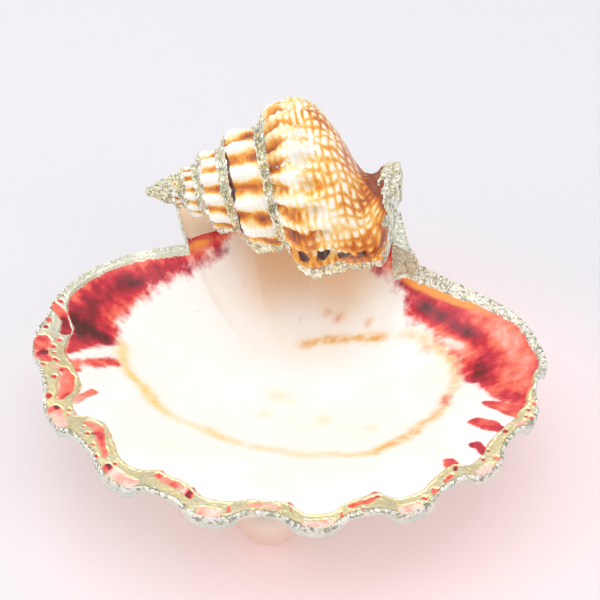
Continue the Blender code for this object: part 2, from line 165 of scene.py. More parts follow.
# Colour under and beside the gilding: chains of (rib units, millimetres in, half width) and a tone,
# from 0, pale pink, over 0.4, coral, and 0.6, crimson, to 1, nearly black
STROKES = [
    ([(-4.77, 1.4, 1.3), (-4.68, 3.8, 1.4)], 0.36),
    ([(-4.62, 4.6, 1.0), (-4.48, 6.3, 1.3)], 0.72),
    ([(-4.28, 2.6, 1.9), (-4.15, 2.4, 1.9)], 0.5),
    ([(-4.02, 3.6, 1.2), (-3.98, 2.4, 1.0)], 0.86),
    ([(-3.88, 2.6, 1.8), (-3.82, 2.8, 1.4)], 0.5),
    ([(-3.67, 7.2, 1.2), (-3.62, 6.4, 1.0)], 0.95),
    ([(-3.55, 7.4, 1.5), (-3.4, 6.8, 1.9), (-3.22, 5.0, 1.3)], 0.33),
    ([(-3.2, 6.0, 0.7), (-3.14, 5.0, 0.6)], 0.58),
    ([(-3.7, 5.6, 0.8), (-3.63, 3.7, 0.8)], 0.16),
    ([(-3.06, 4.4, 1.0), (-3.03, 3.3, 0.8)], 0.96),
    ([(-3.02, 2.2, 0.8), (-3.0, 1.2, 0.7)], 0.4),
    ([(-2.57, 6.9, 1.3), (-2.42, 7.2, 1.4), (-2.2, 5.2, 1.2), (-2.0, 3.9, 0.9)], 0.3),
    ([(-2.3, 6.2, 0.6), (-2.12, 4.4, 0.6)], 0.55),
    ([(-1.88, 3.4, 0.9), (-1.85, 2.9, 0.9)], 0.94),
    ([(-1.86, 1.8, 0.9), (-1.83, 1.2, 0.7)], 0.42),
    ([(-1.32, 7.0, 0.8), (-1.26, 5.8, 0.7)], 0.58),
    ([(-1.16, 5.2, 1.0), (-0.95, 5.2, 1.0)], 0.3),
    ([(-1.05, 4.7, 0.9), (-1.02, 4.5, 0.8)], 0.46),
    ([(-0.84, 6.0, 0.7), (-0.83, 4.0, 0.9)], 0.86),
    ([(-0.36, 5.0, 0.6), (-0.34, 3.0, 0.6)], 0.5),
    ([(-0.12, 3.3, 1.1), (0.2, 3.1, 1.1)], 0.2),
    ([(0.33, 4.2, 0.7), (0.33, 5.8, 0.5)], 0.62),
    ([(0.87, 1.8, 0.7), (0.87, 3.2, 0.6)], 0.55),
    ([(0.98, 3.9, 1.0), (1.2, 4.4, 0.9), (1.33, 6.2, 0.6)], 0.42),
    ([(1.32, 6.4, 0.7), (1.34, 6.8, 0.5)], 0.72),
    ([(1.8, 3.6, 0.7), (1.83, 2.4, 0.6)], 0.52),
    ([(1.92, 2.6, 0.9), (1.97, 1.2, 0.6)], 0.45),
    ([(2.08, 2.5, 0.8), (2.22, 2.8, 0.8)], 0.46),
    ([(2.3, 4.2, 0.6), (2.36, 5.7, 0.6)], 0.85),
    ([(2.82, 2.5, 0.8), (2.84, 1.2, 0.6)], 0.4),
    ([(2.72, 4.5, 0.4), (2.88, 4.9, 0.5)], 0.92),
    ([(3.15, 3.0, 0.8), (3.2, 3.2, 0.7)], 0.48),
    ([(2.34, 6.0, 1.3), (2.4, 8.8, 0.5)], 0.5),
    ([(2.84, 5.4, 1.3), (2.89, 7.4, 1.0), (2.88, 9.2, 0.4)], 0.74),
    ([(3.19, 5.0, 1.2), (3.24, 7.8, 1.3), (3.34, 13.5, 0.7)], 0.58),
    ([(3.64, 5.6, 2.2), (3.70, 8.4, 2.0), (3.78, 12.4, 1.4)], 0.5),
    ([(-3.1, 8.6, 0.5), (-3.28, 12.5, 0.3)], 0.28),
    ([(-3.85, 8.5, 0.9), (-3.72, 9.6, 0.6)], 0.42),
]

# The red fields of the hollow side: (degrees from the front, share of the way to the margin)
RED_LEFT = [
    (-152, 1.0), (-145, 0.93), (-135, 0.91), (-125, 0.875), (-120, 0.85), (-110, 0.80),
    (-105, 0.785), (-100, 0.77), (-95, 0.75), (-92, 0.725), (-88, 0.72), (-84, 0.76), (-80, 0.81),
    (-76, 0.87), (-72, 1.0),
]
RED_RIGHT = [
    (66, 1.0), (68, 0.93), (72, 0.87), (75, 0.82), (80, 0.76), (85, 0.70), (90, 0.68), (98, 0.70),
    (105, 0.72), (112, 0.745), (120, 0.77), (128, 0.79), (130, 0.83), (135, 0.88), (145, 0.90),
    (155, 0.92), (162, 1.0),
]

# Soft patches of tone in the red fields: (degrees, share, half width in degrees, half share, tone)
RED_PATCHES = [
    (-142, 0.965, 8, 0.018, -0.20), (-146, 0.945, 5, 0.02, 0.35), (-113, 0.88, 8, 0.030, 0.30),
    (-96, 0.87, 5, 0.035, 0.26), (-88, 0.84, 4, 0.11, 0.48), (-104, 0.80, 7, 0.02, -0.08),
    (-120, 0.955, 16, 0.014, -0.18), (-100, 0.945, 9, 0.014, -0.10), (-128, 0.91, 9, 0.02, 0.14),
    (119, 0.85, 11, 0.035, 0.30), (87, 0.755, 6, 0.035, 0.28), (104, 0.825, 5, 0.025, 0.22),
    (92, 0.92, 16, 0.05, -0.34), (100, 0.88, 10, 0.025, -0.18), (80, 0.86, 5, 0.06, -0.16),
    (128, 0.935, 18, 0.022, -0.24), (140, 0.895, 14, 0.012, 0.18), (103, 0.75, 8, 0.03, -0.6),
]

# The yellow line of the mantle and the scar of the muscle, with how strong each is there
MANTLE_LINE = [
    (-92, 0.72, 0.5), (-88, 0.70, 0.8), (-80, 0.67, 0.8), (-75, 0.645, 0.9), (-70, 0.61, 1.0),
    (-65, 0.595, 1.1), (-60, 0.583, 1.1), (-55, 0.57, 0.9), (-45, 0.545, 0.45), (-40, 0.51, 0.5),
    (-35, 0.485, 0.8), (-27, 0.482, 0.8), (-18, 0.482, 0.6), (-14, 0.475, 0.25),
    (-10, 0.475, 0.65), (0, 0.49, 0.6), (10, 0.51, 0.6), (20, 0.52, 0.5), (25, 0.54, 0.8),
    (30, 0.57, 0.6), (37, 0.60, 0.9), (46, 0.595, 0.9), (55, 0.605, 0.9), (65, 0.62, 0.7),
    (75, 0.64, 0.6), (85, 0.66, 0.5), (95, 0.68, 0.6), (105, 0.70, 0.6), (115, 0.715, 0.5),
    (124, 0.70, 0.2),
]
SCAR_LINE = [
    (124, 0.64, 0.1), (130, 0.62, 0.9), (140, 0.57, 0.8), (145, 0.52, 0.6), (155, 0.47, 0.9),
    (162, 0.44, 0.8), (170, 0.37, 0.8), (178, 0.34, 0.6), (183, 0.33, 0.0),
]

# Spots on the white: (degrees, share, half width in mm, strength, 0 for yellow to 1 for rust)
SPOTS = [
    (160, 0.63, 1.5, 0.9, 0.8), (167, 0.625, 1.3, 0.8, 0.8), (142, 0.67, 1.2, 0.8, 0.6),
    (130, 0.615, 1.4, 0.9, 0.7), (162, 0.43, 1.0, 0.5, 0.6), (-24, 0.21, 2.2, 0.3, 0.0),
    (35, 0.25, 2.4, 0.32, 0.0), (50, 0.43, 1.8, 0.35, 0.0), (-30, 0.08, 3.5, 0.16, 0.0),
    (-180, 0.33, 1.6, 0.4, 0.3), (92, 0.55, 4.0, 0.10, 0.9), (108, 0.665, 1.8, 0.6, 1.0),
]


def smooth_step(value, low, high):
    """Runs from 0 at low to 1 at high along the curve 3t^2 - 2t^3."""
    t = np.clip((value - low) / (high - low), 0.0, 1.0)
    return t * t * (3.0 - 2.0 * t)


def bell(value, middle, half_width):
    """A bell curve: 1 in the middle and 0.37 at the half width."""
    return np.exp(-(((value - middle) / half_width) ** 2))


def spline_through(points, steps):
    """A Catmull-Rom curve through the points, with the given number of steps in each stretch."""
    points = np.array(points, dtype=float)
    before = 2.0 * points[0] - points[1]
    after = 2.0 * points[-1] - points[-2]
    padded = np.vstack([before, points, after])
    t = (np.arange(steps) / steps)[:, None]
    pieces = []
    for a, b, c, d in zip(padded, padded[1:], padded[2:], padded[3:]):
        bend = (2.0 * b) + (c - a) * t + (2 * a - 5 * b + 4 * c - d) * t**2
        pieces.append(0.5 * (bend + (3 * b - a - 3 * c + d) * t**3))
    return np.vstack(pieces + [points[-1:]])


def random_field(points, cell, seed):
    """A smooth field from -1 to 1: seeded random values on a lattice, eased from cell to cell."""
    place = points / cell
    base = np.floor(place).astype(np.int64)
    t = place - base
    t = t * t * (3.0 - 2.0 * t)
    total = np.zeros(points.shape[:-1])
    for corner in np.ndindex(2, 2, 2):
        x, y, z = np.moveaxis(base + np.array(corner), -1, 0)
        mixed = (x * 73856093) ^ (y * 19349663) ^ (z * 83492791) ^ (seed * 951274213)
        mixed = ((mixed ^ (mixed >> 13)) * 1274126177) & 0x7FFFFFFF
        value = ((mixed ^ (mixed >> 15)) & 0xFFFF) / 32767.5 - 1.0
        weight = np.prod(np.where(np.array(corner) == 1, t, 1.0 - t), axis=-1)
        total += value * weight
    return total


# The valve's surfaces


def disc_margin():
    """The valve's margin without ribs or ears, which closes at the umbo instead."""
    right = spline_through(DISC_RIGHT, 12)
    left = spline_through(DISC_LEFT, 12)[::-1]
    crown = [(17, 57.5), (8, 63), UMBO, (-7.5, 63.3), (-17, 58.3)]
    return np.vstack([right, crown, left[:-1]])


def bearing_from(middle, points):
    """Angle of each point about the middle, from 0 at the front, growing towards +x."""
    offset = points - middle
    return np.mod(np.arctan2(offset[..., 0], -offset[..., 1]), TURN)


def disc_reach(bearing):
    """Distance from the middle of the bowl to the margin of the disc, at a bearing."""
    margin = disc_margin()
    bearings = bearing_from(VALVE_MIDDLE, margin)
    order = np.argsort(bearings)
    reach = np.hypot(*(margin - VALVE_MIDDLE).T)
    return np.interp(bearing, bearings[order], reach[order], period=TURN)


def rib_number(x, y):
    """Counts the ribs: whole numbers lie on the ridges of the hollow side, halves in its channels.

    The angle about the umbo is first + pitch n + crowding n^2, so the ribs crowd towards +x.
    """
    angle = np.arctan2(x - UMBO[0], UMBO[1] - y)
    root = np.sqrt(RIB_PITCH**2 + 4.0 * RIB_CROWDING * (angle.clip(-1.4, 1.4) - RIB_FIRST))
    return (root - RIB_PITCH) / (2.0 * RIB_CROWDING), angle


def rib_wave(x, y):
    """+1 along each rib's channel and -1 along the ridge between two, 0 past the last rib."""
    number, angle = rib_number(x, y)
    wave = np.tanh(-1.7 * np.cos(TURN * number)) / np.tanh(1.7)
    return wave * (1.0 - smooth_step(np.abs(angle), RIB_REACH - RIB_FADE, RIB_REACH))


def disc_fraction(x, y):
    """How far a point is from the middle of the bowl, as a share of the way to the margin."""
    there = bearing_from(VALVE_MIDDLE, np.stack([x, y], axis=-1))
    distance = np.hypot(x - VALVE_MIDDLE[0], y - VALVE_MIDDLE[1])
    return distance / disc_reach(there), there


def bowl_height(x, y):
    """Height of the hollow side: -depth (1 - f^m)^p, with f the share of the way to the margin."""
    share, bearing = disc_fraction(x, y)
    frontness = 0.5 + 0.5 * np.cos(bearing)
    steep = 2.0 + 3.0 * (1.0 - frontness) ** 2.3
    power = 1.0 + frontness**1.7
    inside = np.clip(1.0 - share**steep, 0.0, 1.0)
    ear = EAR_DROP * smooth_step(y, 44.0, 54.0) * smooth_step(share, 0.9, 1.0)
    from_umbo = np.hypot(x - UMBO[0], y - UMBO[1])
    dip = RIB_RIM_DIP * rib_wave(x, y) * smooth_step(share, 0.55, 1.0) * smooth_step(from_umbo, 20.0, 50.0)
    depth = bpy.context.scene.dish_valve.bowl_depth / MM
    return -depth * inside**power - ear - dip


def outer_height(x, y):
    """Height of the ribbed underside: the hollow side, less the wall measured straight down."""
    sizes = bpy.context.scene.dish_valve
    step = 0.25
    slope_x = (bowl_height(x + step, y) - bowl_height(x - step, y)) / (2 * step)
    slope_y = (bowl_height(x, y + step) - bowl_height(x, y - step)) / (2 * step)
    stretch = np.clip(np.sqrt(1.0 + slope_x**2 + slope_y**2), 1.0, 2.6)
    share, _ = disc_fraction(x, y)
    middle, margin = sizes.wall_middle / MM, sizes.wall_margin / MM
    wall = middle + (margin - middle) * smooth_step(share, 0.5, 1.0)
    reach = np.hypot(x - UMBO[0], y - UMBO[1]) / 110.0
    rib = sizes.rib_height / MM * reach * 0.5 * (1.0 + rib_wave(x, y))
    return bowl_height(x, y) - wall * stretch - rib


def valve_margin(count):
    """The margin as seen from above, with its rib bumps and both ears, in evenly spaced points."""
    right = spline_through(DISC_RIGHT, 12)
    left = spline_through(DISC_LEFT, 12)[::-1]
    middle = np.mean([EAR_RIGHT[-1], EAR_LEFT[0]], axis=0) - (0.0, HINGE_SAG)
    line = np.vstack([right[:-1], EAR_RIGHT, middle[None, :], EAR_LEFT[:-1], left[:-1]])
    closed = np.vstack([line, line[:1]])
    steps = np.hypot(*np.diff(closed, axis=0).T)
    along = np.concatenate([[0.0], np.cumsum(steps)])
    want = np.arange(count) * along[-1] / count
    even = np.stack([np.interp(want, along, closed[:, k]) for k in (0, 1)], axis=1)
    outward = even - VALVE_MIDDLE
    outward /= np.hypot(*outward.T)[:, None]
    bump = RIB_OUTWARD * rib_wave(even[:, 0], even[:, 1])
    return even + outward * bump[:, None]


class Margin:
    """The valve's margin and what goes with each of its points.

    outward is the unit direction from the middle of the bowl, whole the distance to the margin, disc
    the distance to the disc's edge, units the angle about the umbo in rib units, and along the
    length of the margin from the front, which is negative on the left.
    """

    def __init__(self, count):
        points = valve_margin(count)
        self.whole = np.hypot(*(points - VALVE_MIDDLE).T)
        self.outward = (points - VALVE_MIDDLE) / self.whole[:, None]
        self.bearing = bearing_from(VALVE_MIDDLE, points)
        self.disc = np.minimum(disc_reach(self.bearing), self.whole)
        self.on_ear = smooth_step(self.whole / self.disc, 1.03, 1.12)
        self.degrees = np.degrees(self.bearing)
        self.degrees = np.where(self.degrees > 180.0, self.degrees - 360.0, self.degrees)
        self.units = np.arctan2(points[:, 0] - UMBO[0], UMBO[1] - points[:, 1]) / RIB_UNIT
        steps = np.hypot(*(np.roll(points, -1, axis=0) - points).T)
        along = np.concatenate([[0.0], np.cumsum(steps)])[:-1]
        self.along = np.where(np.arange(count) > count // 2, along - steps.sum(), along)

    def along_at(self, units):
        """Length of margin from the front to a place given in rib units."""
        order = np.argsort(self.units)
        return np.interp(units, self.units[order], self.along[order])


def chain_distance(along, depth, chain, margin):
    """Signed distance to a chain of round strokes, negative inside: |p - segment| - half width."""
    nearest = np.full(np.broadcast(along, depth).shape, 1e9)
    places = [(margin.along_at(units), inward, half) for units, inward, half in chain]
    for (ax, ay, ar), (bx, by, br) in zip(places, places[1:]):
        length = max((bx - ax) ** 2 + (by - ay) ** 2, 1e-9)
        t = np.clip(((along - ax) * (bx - ax) + (depth - ay) * (by - ay)) / length, 0.0, 1.0)
        gap = np.hypot(along - ax - t * (bx - ax), depth - ay - t * (by - ay)) - ar - t * (br - ar)
        nearest = np.minimum(nearest, gap)
    return nearest


# Making meshes


def grid_quads(rows, columns):
    """Quads between rows of points, each row closed on itself, as row, column and corner."""
    row = np.arange(rows - 1)[:, None, None]
    column = np.arange(columns)[None, :, None]
    down = np.array([0, 0, 1, 1])
    across = np.array([0, 1, 1, 0])
    return (row + down) * columns + (column + across) % columns


def cap_faces(rows, columns, turned=False):
    """Triangles that close the first row onto one middle point and the last row onto the next."""
    first = rows * columns
    ring = np.arange(columns)
    after = np.roll(ring, -1)
    near = [np.full(columns, first), ring, after]
    last = first - columns
    far = [np.full(columns, first + 1), last + after, last + ring]
    if turned:
        near = [near[0], near[2], near[1]]
        far = [far[0], far[2], far[1]]
    return np.stack(near, axis=1).tolist() + np.stack(far, axis=1).tolist()


def frame_shift():
    """What leads from the valve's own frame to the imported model's, in millimetres."""
    valve_low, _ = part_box("scallop_valve")
    plan_low = valve_margin(SOLID_MARGIN_POINTS).min(axis=0)
    return np.array([valve_low.x / MM - plan_low[0], valve_low.y / MM - plan_low[1], RIM_HEIGHT])


def make_piece(name, points, faces, materials, fields=None, face_slots=None):
    """Makes one smooth object from points in millimetres, with a float attribute for each field."""
    mesh = bpy.data.meshes.new(name)
    mesh.from_pydata(((points + frame_shift()) * MM).tolist(), [], faces)
    for field, values in (fields or {}).items():
        attribute = mesh.attributes.new(field, "FLOAT", "POINT")
        attribute.data.foreach_set("value", np.asarray(values, dtype=np.float32).ravel())
    for material in materials:
        mesh.materials.append(material)
    if face_slots is not None:
        mesh.polygons.foreach_set("material_index", np.asarray(face_slots, dtype=np.int32))
    mesh.shade_smooth()
    mesh.update()
    made = bpy.data.objects.new(name, mesh)
    bpy.context.scene.collection.objects.link(made)
    return made


def finish_piece(piece, slot, *nodes):
    """Tells the frame what the piece rides on and hides the solids that it stands for. The slot, its finish,
    is not used.
    """
    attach(piece, "root")
    if nodes:
        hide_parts(*nodes)


# Making materials


class Bench:
    """Adds nodes to one tree. A value given as a socket is linked, any other is set."""

    def __init__(self, tree):
        self.tree = tree

    def node(self, kind, values=None, **settings):
        """Adds one node with its settings and feeds its inputs."""
        made = self.tree.nodes.new(kind)
        for key, value in settings.items():
            setattr(made, key, value)
        for key, value in (values or {}).items():
            self.feed(made.inputs[key], value)
        return made

    def feed(self, socket, value):
        """Links a socket to an input, or sets the input to a plain value."""
        if isinstance(value, bpy.types.NodeSocket):
            self.tree.links.new(value, socket)
        else:
            socket.default_value = value

    def math(self, operation, first, second=0.0, third=0.0):
        """The result of one sum or product."""
        made = self.node("ShaderNodeMath", {0: first, 1: second, 2: third}, operation=operation)
        return made.outputs[0]

    def ease(self, value, low, high):
        """0 below low and 1 above high, eased between."""
        made = self.node(
            "ShaderNodeMapRange",
            {"Value": value, "From Min": low, "From Max": high},
            interpolation_type="SMOOTHSTEP",
        )
        return made.outputs["Result"]

    def mix(self, share, first, second):
        """The first colour at share 0 and the second at share 1."""
        made = self.node("ShaderNodeMix", data_type="RGBA")
        self.feed(made.inputs[0], share)
        self.feed(made.inputs[6], first)
        self.feed(made.inputs[7], second)
        return made.outputs[2]

    def noise(self, place, scale, detail, **more):
        """The value of a noise texture, from 0 to 1."""
        values = {"Vector": place, "Scale": scale, "Detail": detail, **more}
        return self.node("ShaderNodeTexNoise", values).outputs["Fac"]

    def mottle(self, place, scale, low, high):
        """The mask of the group called mottle."""
        return self.group("mottle", {"Vector": place, "Scale": scale, "Low": low, "High": high})["Mask"]

    def attribute(self, name):
        """One of the piece's own fields."""
        return self.node("ShaderNodeAttribute", attribute_name=name).outputs["Fac"]

    def place(self):
        """The place on the piece, in metres."""
        return self.node("ShaderNodeTexCoord").outputs["Object"]

    def group(self, name, values):
        """The outputs of a shared group of nodes."""
        made = self.node("ShaderNodeGroup", node_tree=bpy.data.node_groups[name])
        for key, value in values.items():
            self.feed(made.inputs[key], value)
        return made.outputs

    def ramp(self, value, stops):
        """A run of colours, each at its position."""
        made = self.node("ShaderNodeValToRGB", {"Fac": value})
        elements = made.color_ramp.elements
        while len(elements) < len(stops):
            elements.new(1.0)
        for element, (position, colour) in zip(elements, stops):
            element.position = position
            element.color = colour
        return made.outputs["Color"]


def tint(red, green, blue):
    """A screen colour as the linear colour that shaders take."""
    screen = np.array([red, green, blue])
    linear = np.where(screen <= 0.04045, screen / 12.92, ((screen + 0.055) / 1.055) ** 2.4)
    return (*linear.tolist(), 1.0)


def new_material(name):
    """A material with its Principled shader, and a bench for its nodes."""
    material = bpy.data.materials.new(name)
    material.use_nodes = True
    shader = material.node_tree.nodes["Principled BSDF"]
    return material, shader, Bench(material.node_tree)


def new_group(name, inputs, outputs):
    """An empty node group with float sockets and the vector sockets called Vector."""
    group = bpy.data.node_groups.new(name, "ShaderNodeTree")
    for title, default in inputs.items():
        kind = "NodeSocketVector" if title == "Vector" else "NodeSocketFloat"
        socket = group.interface.new_socket(title, in_out="INPUT", socket_type=kind)
        if default is not None:
            socket.default_value = default
    for title, kind in outputs.items():
        group.interface.new_socket(title, in_out="OUTPUT", socket_type=kind)
    bench = Bench(group)
    return bench, bench.node("NodeGroupInput").outputs, bench.node("NodeGroupOutput").inputs


def mottle_group():
    """Blotches: noise drawn apart into a mask from 0 to 1."""
    bench, given, result = new_group(
        "mottle", {"Vector": None, "Scale": 1.0, "Low": 0.4, "High": 0.6}, {"Mask": "NodeSocketFloat"}
    )
    noise = bench.noise(given["Vector"], given["Scale"], 5.0, Roughness=0.6)
    bench.feed(result["Mask"], bench.ease(noise, given["Low"], given["High"]))


def leaf_group():
    """Metal leaf: its tint runs from gold to silver, and Crush breaks it into dark and bright flakes."""
    colours = bpy.context.scene.dish_gilding
    bench, given, result = new_group(
        "metal_leaf",
        {"Vector": None, "Scale": 900.0, "Silver": 0.3, "Crush": 0.5},
        {"Color": "NodeSocketColor", "Roughness": "NodeSocketFloat", "Height": "NodeSocketFloat"},
    )
    crush = given["Crush"]
    flakes = bench.node(
        "ShaderNodeTexVoronoi", {"Vector": given["Vector"], "Scale": given["Scale"], "Randomness": 1.0}
    )
    wide = bench.math("MULTIPLY", given["Scale"], 0.3)
    folds = bench.node("ShaderNodeTexNoise", {"Vector": given["Vector"], "Scale": wide, "Detail": 5.0})
    fold = bench.math("SUBTRACT", folds.outputs["Fac"], 0.5)
    flake = bench.node("ShaderNodeSeparateColor", {"Color": flakes.outputs["Color"]}).outputs[0]
    silver = bench.math("MULTIPLY_ADD", fold, 1.6, given["Silver"])
    colour = bench.mix(bench.ease(silver, 0.2, 0.8), tuple(colours.gold), tuple(colours.silver))
    grain = bench.ease(bench.math("MULTIPLY_ADD", flake, 0.35, fold), 0.05, 0.4)
    colour = bench.mix(bench.math("MULTIPLY", grain, 0.2), colour, tint(0.66, 0.62, 0.45))
    broad = bench.math("MULTIPLY", given["Scale"], 0.07)
    clouds = bench.node("ShaderNodeTexNoise", {"Vector": given["Vector"], "Scale": broad, "Detail": 3.0})
    cloud = bench.ease(clouds.outputs["Fac"], 0.42, 0.62)
    patch = bench.math("MULTIPLY", cloud, bench.math("MULTIPLY", given["Silver"], 0.7))
    colour = bench.mix(patch, colour, tint(0.80, 0.81, 0.72))
    tarnish = bench.math("MULTIPLY", bench.ease(fold, 0.03, 0.15), crush)
    colour = bench.mix(bench.math("MULTIPLY", tarnish, 0.35), colour, tint(0.52, 0.55, 0.48))
    dark = bench.math("MULTIPLY", bench.ease(bench.math("ADD", flake, fold), 0.66, 0.74), crush)
    colour = bench.mix(bench.math("MULTIPLY", dark, 0.5), colour, tint(0.33, 0.32, 0.27))
    bright = bench.math("MULTIPLY", bench.ease(flake, 0.45, 0.38), crush)
    colour = bench.mix(bright, colour, tint(0.97, 0.97, 0.94))
    bench.feed(result["Color"], colour)
    bench.feed(result["Roughness"], bench.math("MULTIPLY_ADD", flake, 0.2, 0.2))
    cells = bench.math("MULTIPLY", flakes.outputs["Distance"], crush)
    depth = bench.math("MULTIPLY_ADD", crush, 0.7, 0.3)
    bench.feed(result["Height"], bench.math("MULTIPLY_ADD", folds.outputs["Fac"], depth, cells))


def add_bump(bench, shader, height, distance, strength=1.0):
    """Roughens a shader by a height, over a distance in metres."""
    values = {"Height": height, "Distance": distance, "Strength": strength}
    bench.feed(shader.inputs["Normal"], bench.node("ShaderNodeBump", values).outputs["Normal"])


def valve_inside_material():
    """White porcelain with red fields, a yellow mantle line, rust spots and a painted tan shade below the
    snail shell, under clear varnish.
    """
    colours = bpy.context.scene.dish_valve
    material, shader, bench = new_material("varnished_valve")
    place = bench.place()
    turn, reach = bench.attribute("fan_turn"), bench.attribute("fan_reach")
    fan = bench.node("ShaderNodeCombineXYZ", {0: turn, 1: reach, 2: 0.0}).outputs[0]
    streaks = bench.noise(fan, 1.0, 6.0, Roughness=0.65)
    streak = bench.math("SUBTRACT", streaks, 0.5)
    cloud = bench.noise(place, 260.0, 5.0, Roughness=0.6)
    blotch = bench.math("SUBTRACT", cloud, 0.5)
    wander = bench.math("ADD", bench.math("MULTIPLY", streak, 0.75), bench.math("MULTIPLY", blotch, 1.1))

    edge = bench.math("ADD", bench.math("MULTIPLY", streak, 0.5), bench.math("MULTIPLY", blotch, 1.3))
    red = bench.ease(bench.math("ADD", bench.attribute("red"), edge), 0.2, 0.8)
    tone = bench.math("ADD", bench.attribute("tone"), bench.math("MULTIPLY", wander, 0.75))
    reds = bench.ramp(tone, [
        (0.0, tint(0.99, 0.86, 0.80)), (0.2, tint(0.97, 0.62, 0.55)), (0.4, tuple(colours.coral)),
        (0.6, tuple(colours.crimson)), (0.8, tint(0.58, 0.10, 0.18)), (1.0, tint(0.32, 0.07, 0.10)),
    ])
    cream = bench.mottle(place, 45.0, 0.35, 0.75)
    white = bench.mix(cream, tuple(colours.porcelain), tint(1.0, 0.975, 0.93))
    # Painted shade: the field called shade tints the white tan by the hinge, where the snail shell shades
    # it, and gives the ears their peach tint.
    white = bench.mix(bench.attribute("shade"), white, tint(0.93, 0.74, 0.52))
    mottled = bench.mottle(place, 420.0, 0.3, 0.62)
    patchy = bench.math("MULTIPLY_ADD", mottled, 0.5, 0.6)
    yellow = bench.math("MULTIPLY", bench.attribute("yellow"), patchy)
    white = bench.mix(yellow, white, tuple(colours.mantle))
    rusty = bench.math("MULTIPLY", bench.attribute("rust"), mottled)
    white = bench.mix(rusty, white, tint(0.88, 0.50, 0.22))
    painted = bench.mix(red, white, reds)
    orange = bench.math("ADD", bench.attribute("orange"), bench.math("MULTIPLY", wander, 0.5))
    painted = bench.mix(bench.ease(orange, 0.3, 0.7), painted, tint(0.99, 0.62, 0.27))
    bench.feed(shader.inputs["Base Color"], painted)
    bench.feed(shader.inputs["Roughness"], bench.math("MULTIPLY_ADD", mottled, 0.1, 0.34))
    shader.inputs["Coat Weight"].default_value = 0.2
    shader.inputs["Coat Roughness"].default_value = 0.1
    add_bump(bench, shader, bench.math("ADD", cloud, streaks), 0.00012, 0.5)
    return material


def valve_outside_material():
    """The ribbed underside, painted in silvery green pearl."""
    material, shader, bench = new_material("pearl_painted_underside")
    place = bench.place()
    worn = bench.mottle(place, 130.0, 0.35, 0.7)
    colour = bench.mix(worn, tint(0.80, 0.85, 0.80), tint(0.93, 0.93, 0.87))
    bench.feed(shader.inputs["Base Color"], colour)
    bench.feed(shader.inputs["Roughness"], bench.math("MULTIPLY_ADD", worn, 0.12, 0.26))
    shader.inputs["Metallic"].default_value = 0.45
    shader.inputs["Coat Weight"].default_value = 0.4
    add_bump(bench, shader, bench.noise(place, 1500.0, 3.0), 0.00008, 0.5)
    return material


def gilding_material():
    """Crumpled champagne and silver leaf under varnish."""
    material, shader, bench = new_material("champagne_leaf")
    leaf = bench.group(
        "metal_leaf",
        {"Vector": bench.place(), "Scale": 1500.0, "Silver": bench.attribute("silver"),
         "Crush": bench.attribute("crush")},
    )
    bench.feed(shader.inputs["Base Color"], leaf["Color"])
    bench.feed(shader.inputs["Roughness"], leaf["Roughness"])
    shader.inputs["Metallic"].default_value = LEAF_METALLIC
    add_bump(bench, shader, leaf["Height"], 0.00035, 0.8)
    return material


def snail_material():
    """Cream and orange-brown shell with chalk crust, gilded where the field called gild says so."""
    colours = bpy.context.scene.dish_snail
    material, shader, bench = new_material("varnished_snail_shell")
    place = bench.place()
    cloud = bench.noise(place, 420.0, 5.0, Roughness=0.6)
    wander = bench.math("SUBTRACT", cloud, 0.5)
    deep = bench.mottle(place, 90.0, 0.4, 0.65)
    stain = bench.math("MULTIPLY_ADD", wander, 1.1, bench.attribute("orange"))
    stain = bench.math("MULTIPLY_ADD", stain, 0.58, 0.13)
    stain = bench.math("MULTIPLY_ADD", deep, 0.08, stain)
    shell = bench.ramp(stain, [
        (0.22, tuple(colours.cream)), (0.42, tint(0.99, 0.90, 0.66)), (0.56, tuple(colours.amber)),
        (0.74, tuple(colours.brown)), (1.0, tint(0.55, 0.24, 0.08)),
    ])

    def wandering(field, spread):
        """A field with its edges moved about by the noise."""
        return bench.math("MULTIPLY_ADD", wander, spread, bench.attribute(field))

    rosy = bench.ease(wandering("rosy", 1.0), 0.35, 0.75)
    shell = bench.mix(rosy, shell, tint(0.72, 0.32, 0.20))
    dark = bench.ease(wandering("dark", 1.0), 0.4, 0.6)
    shell = bench.mix(dark, shell, tint(0.30, 0.13, 0.05))
    chalk = bench.ease(wandering("chalk", 1.6), 0.45, 0.55)
    shell = bench.mix(chalk, shell, tint(0.97, 0.96, 0.92))
    leaf = bench.group("metal_leaf", {"Vector": place, "Scale": 1100.0, "Silver": 0.45, "Crush": 0.8})
    gilded = bench.ease(wandering("gild", 0.9), 0.45, 0.55)
    bench.feed(shader.inputs["Base Color"], bench.mix(gilded, shell, leaf["Color"]))
    bench.feed(shader.inputs["Metallic"], bench.math("MULTIPLY", gilded, LEAF_METALLIC))
    plain = bench.math("MULTIPLY_ADD", chalk, 0.4, 0.24)
    rough = bench.node("ShaderNodeMix", {0: gilded, 2: plain, 3: leaf["Roughness"]}).outputs[0]
    bench.feed(shader.inputs["Roughness"], rough)
    shader.inputs["Coat Weight"].default_value = 0.35
    shader.inputs["Coat Roughness"].default_value = 0.1
    leafy = bench.math("MULTIPLY", gilded, leaf["Height"])
    add_bump(bench, shader, bench.math("MULTIPLY_ADD", cloud, 0.4, leafy), 0.0004, 0.7)
    return material


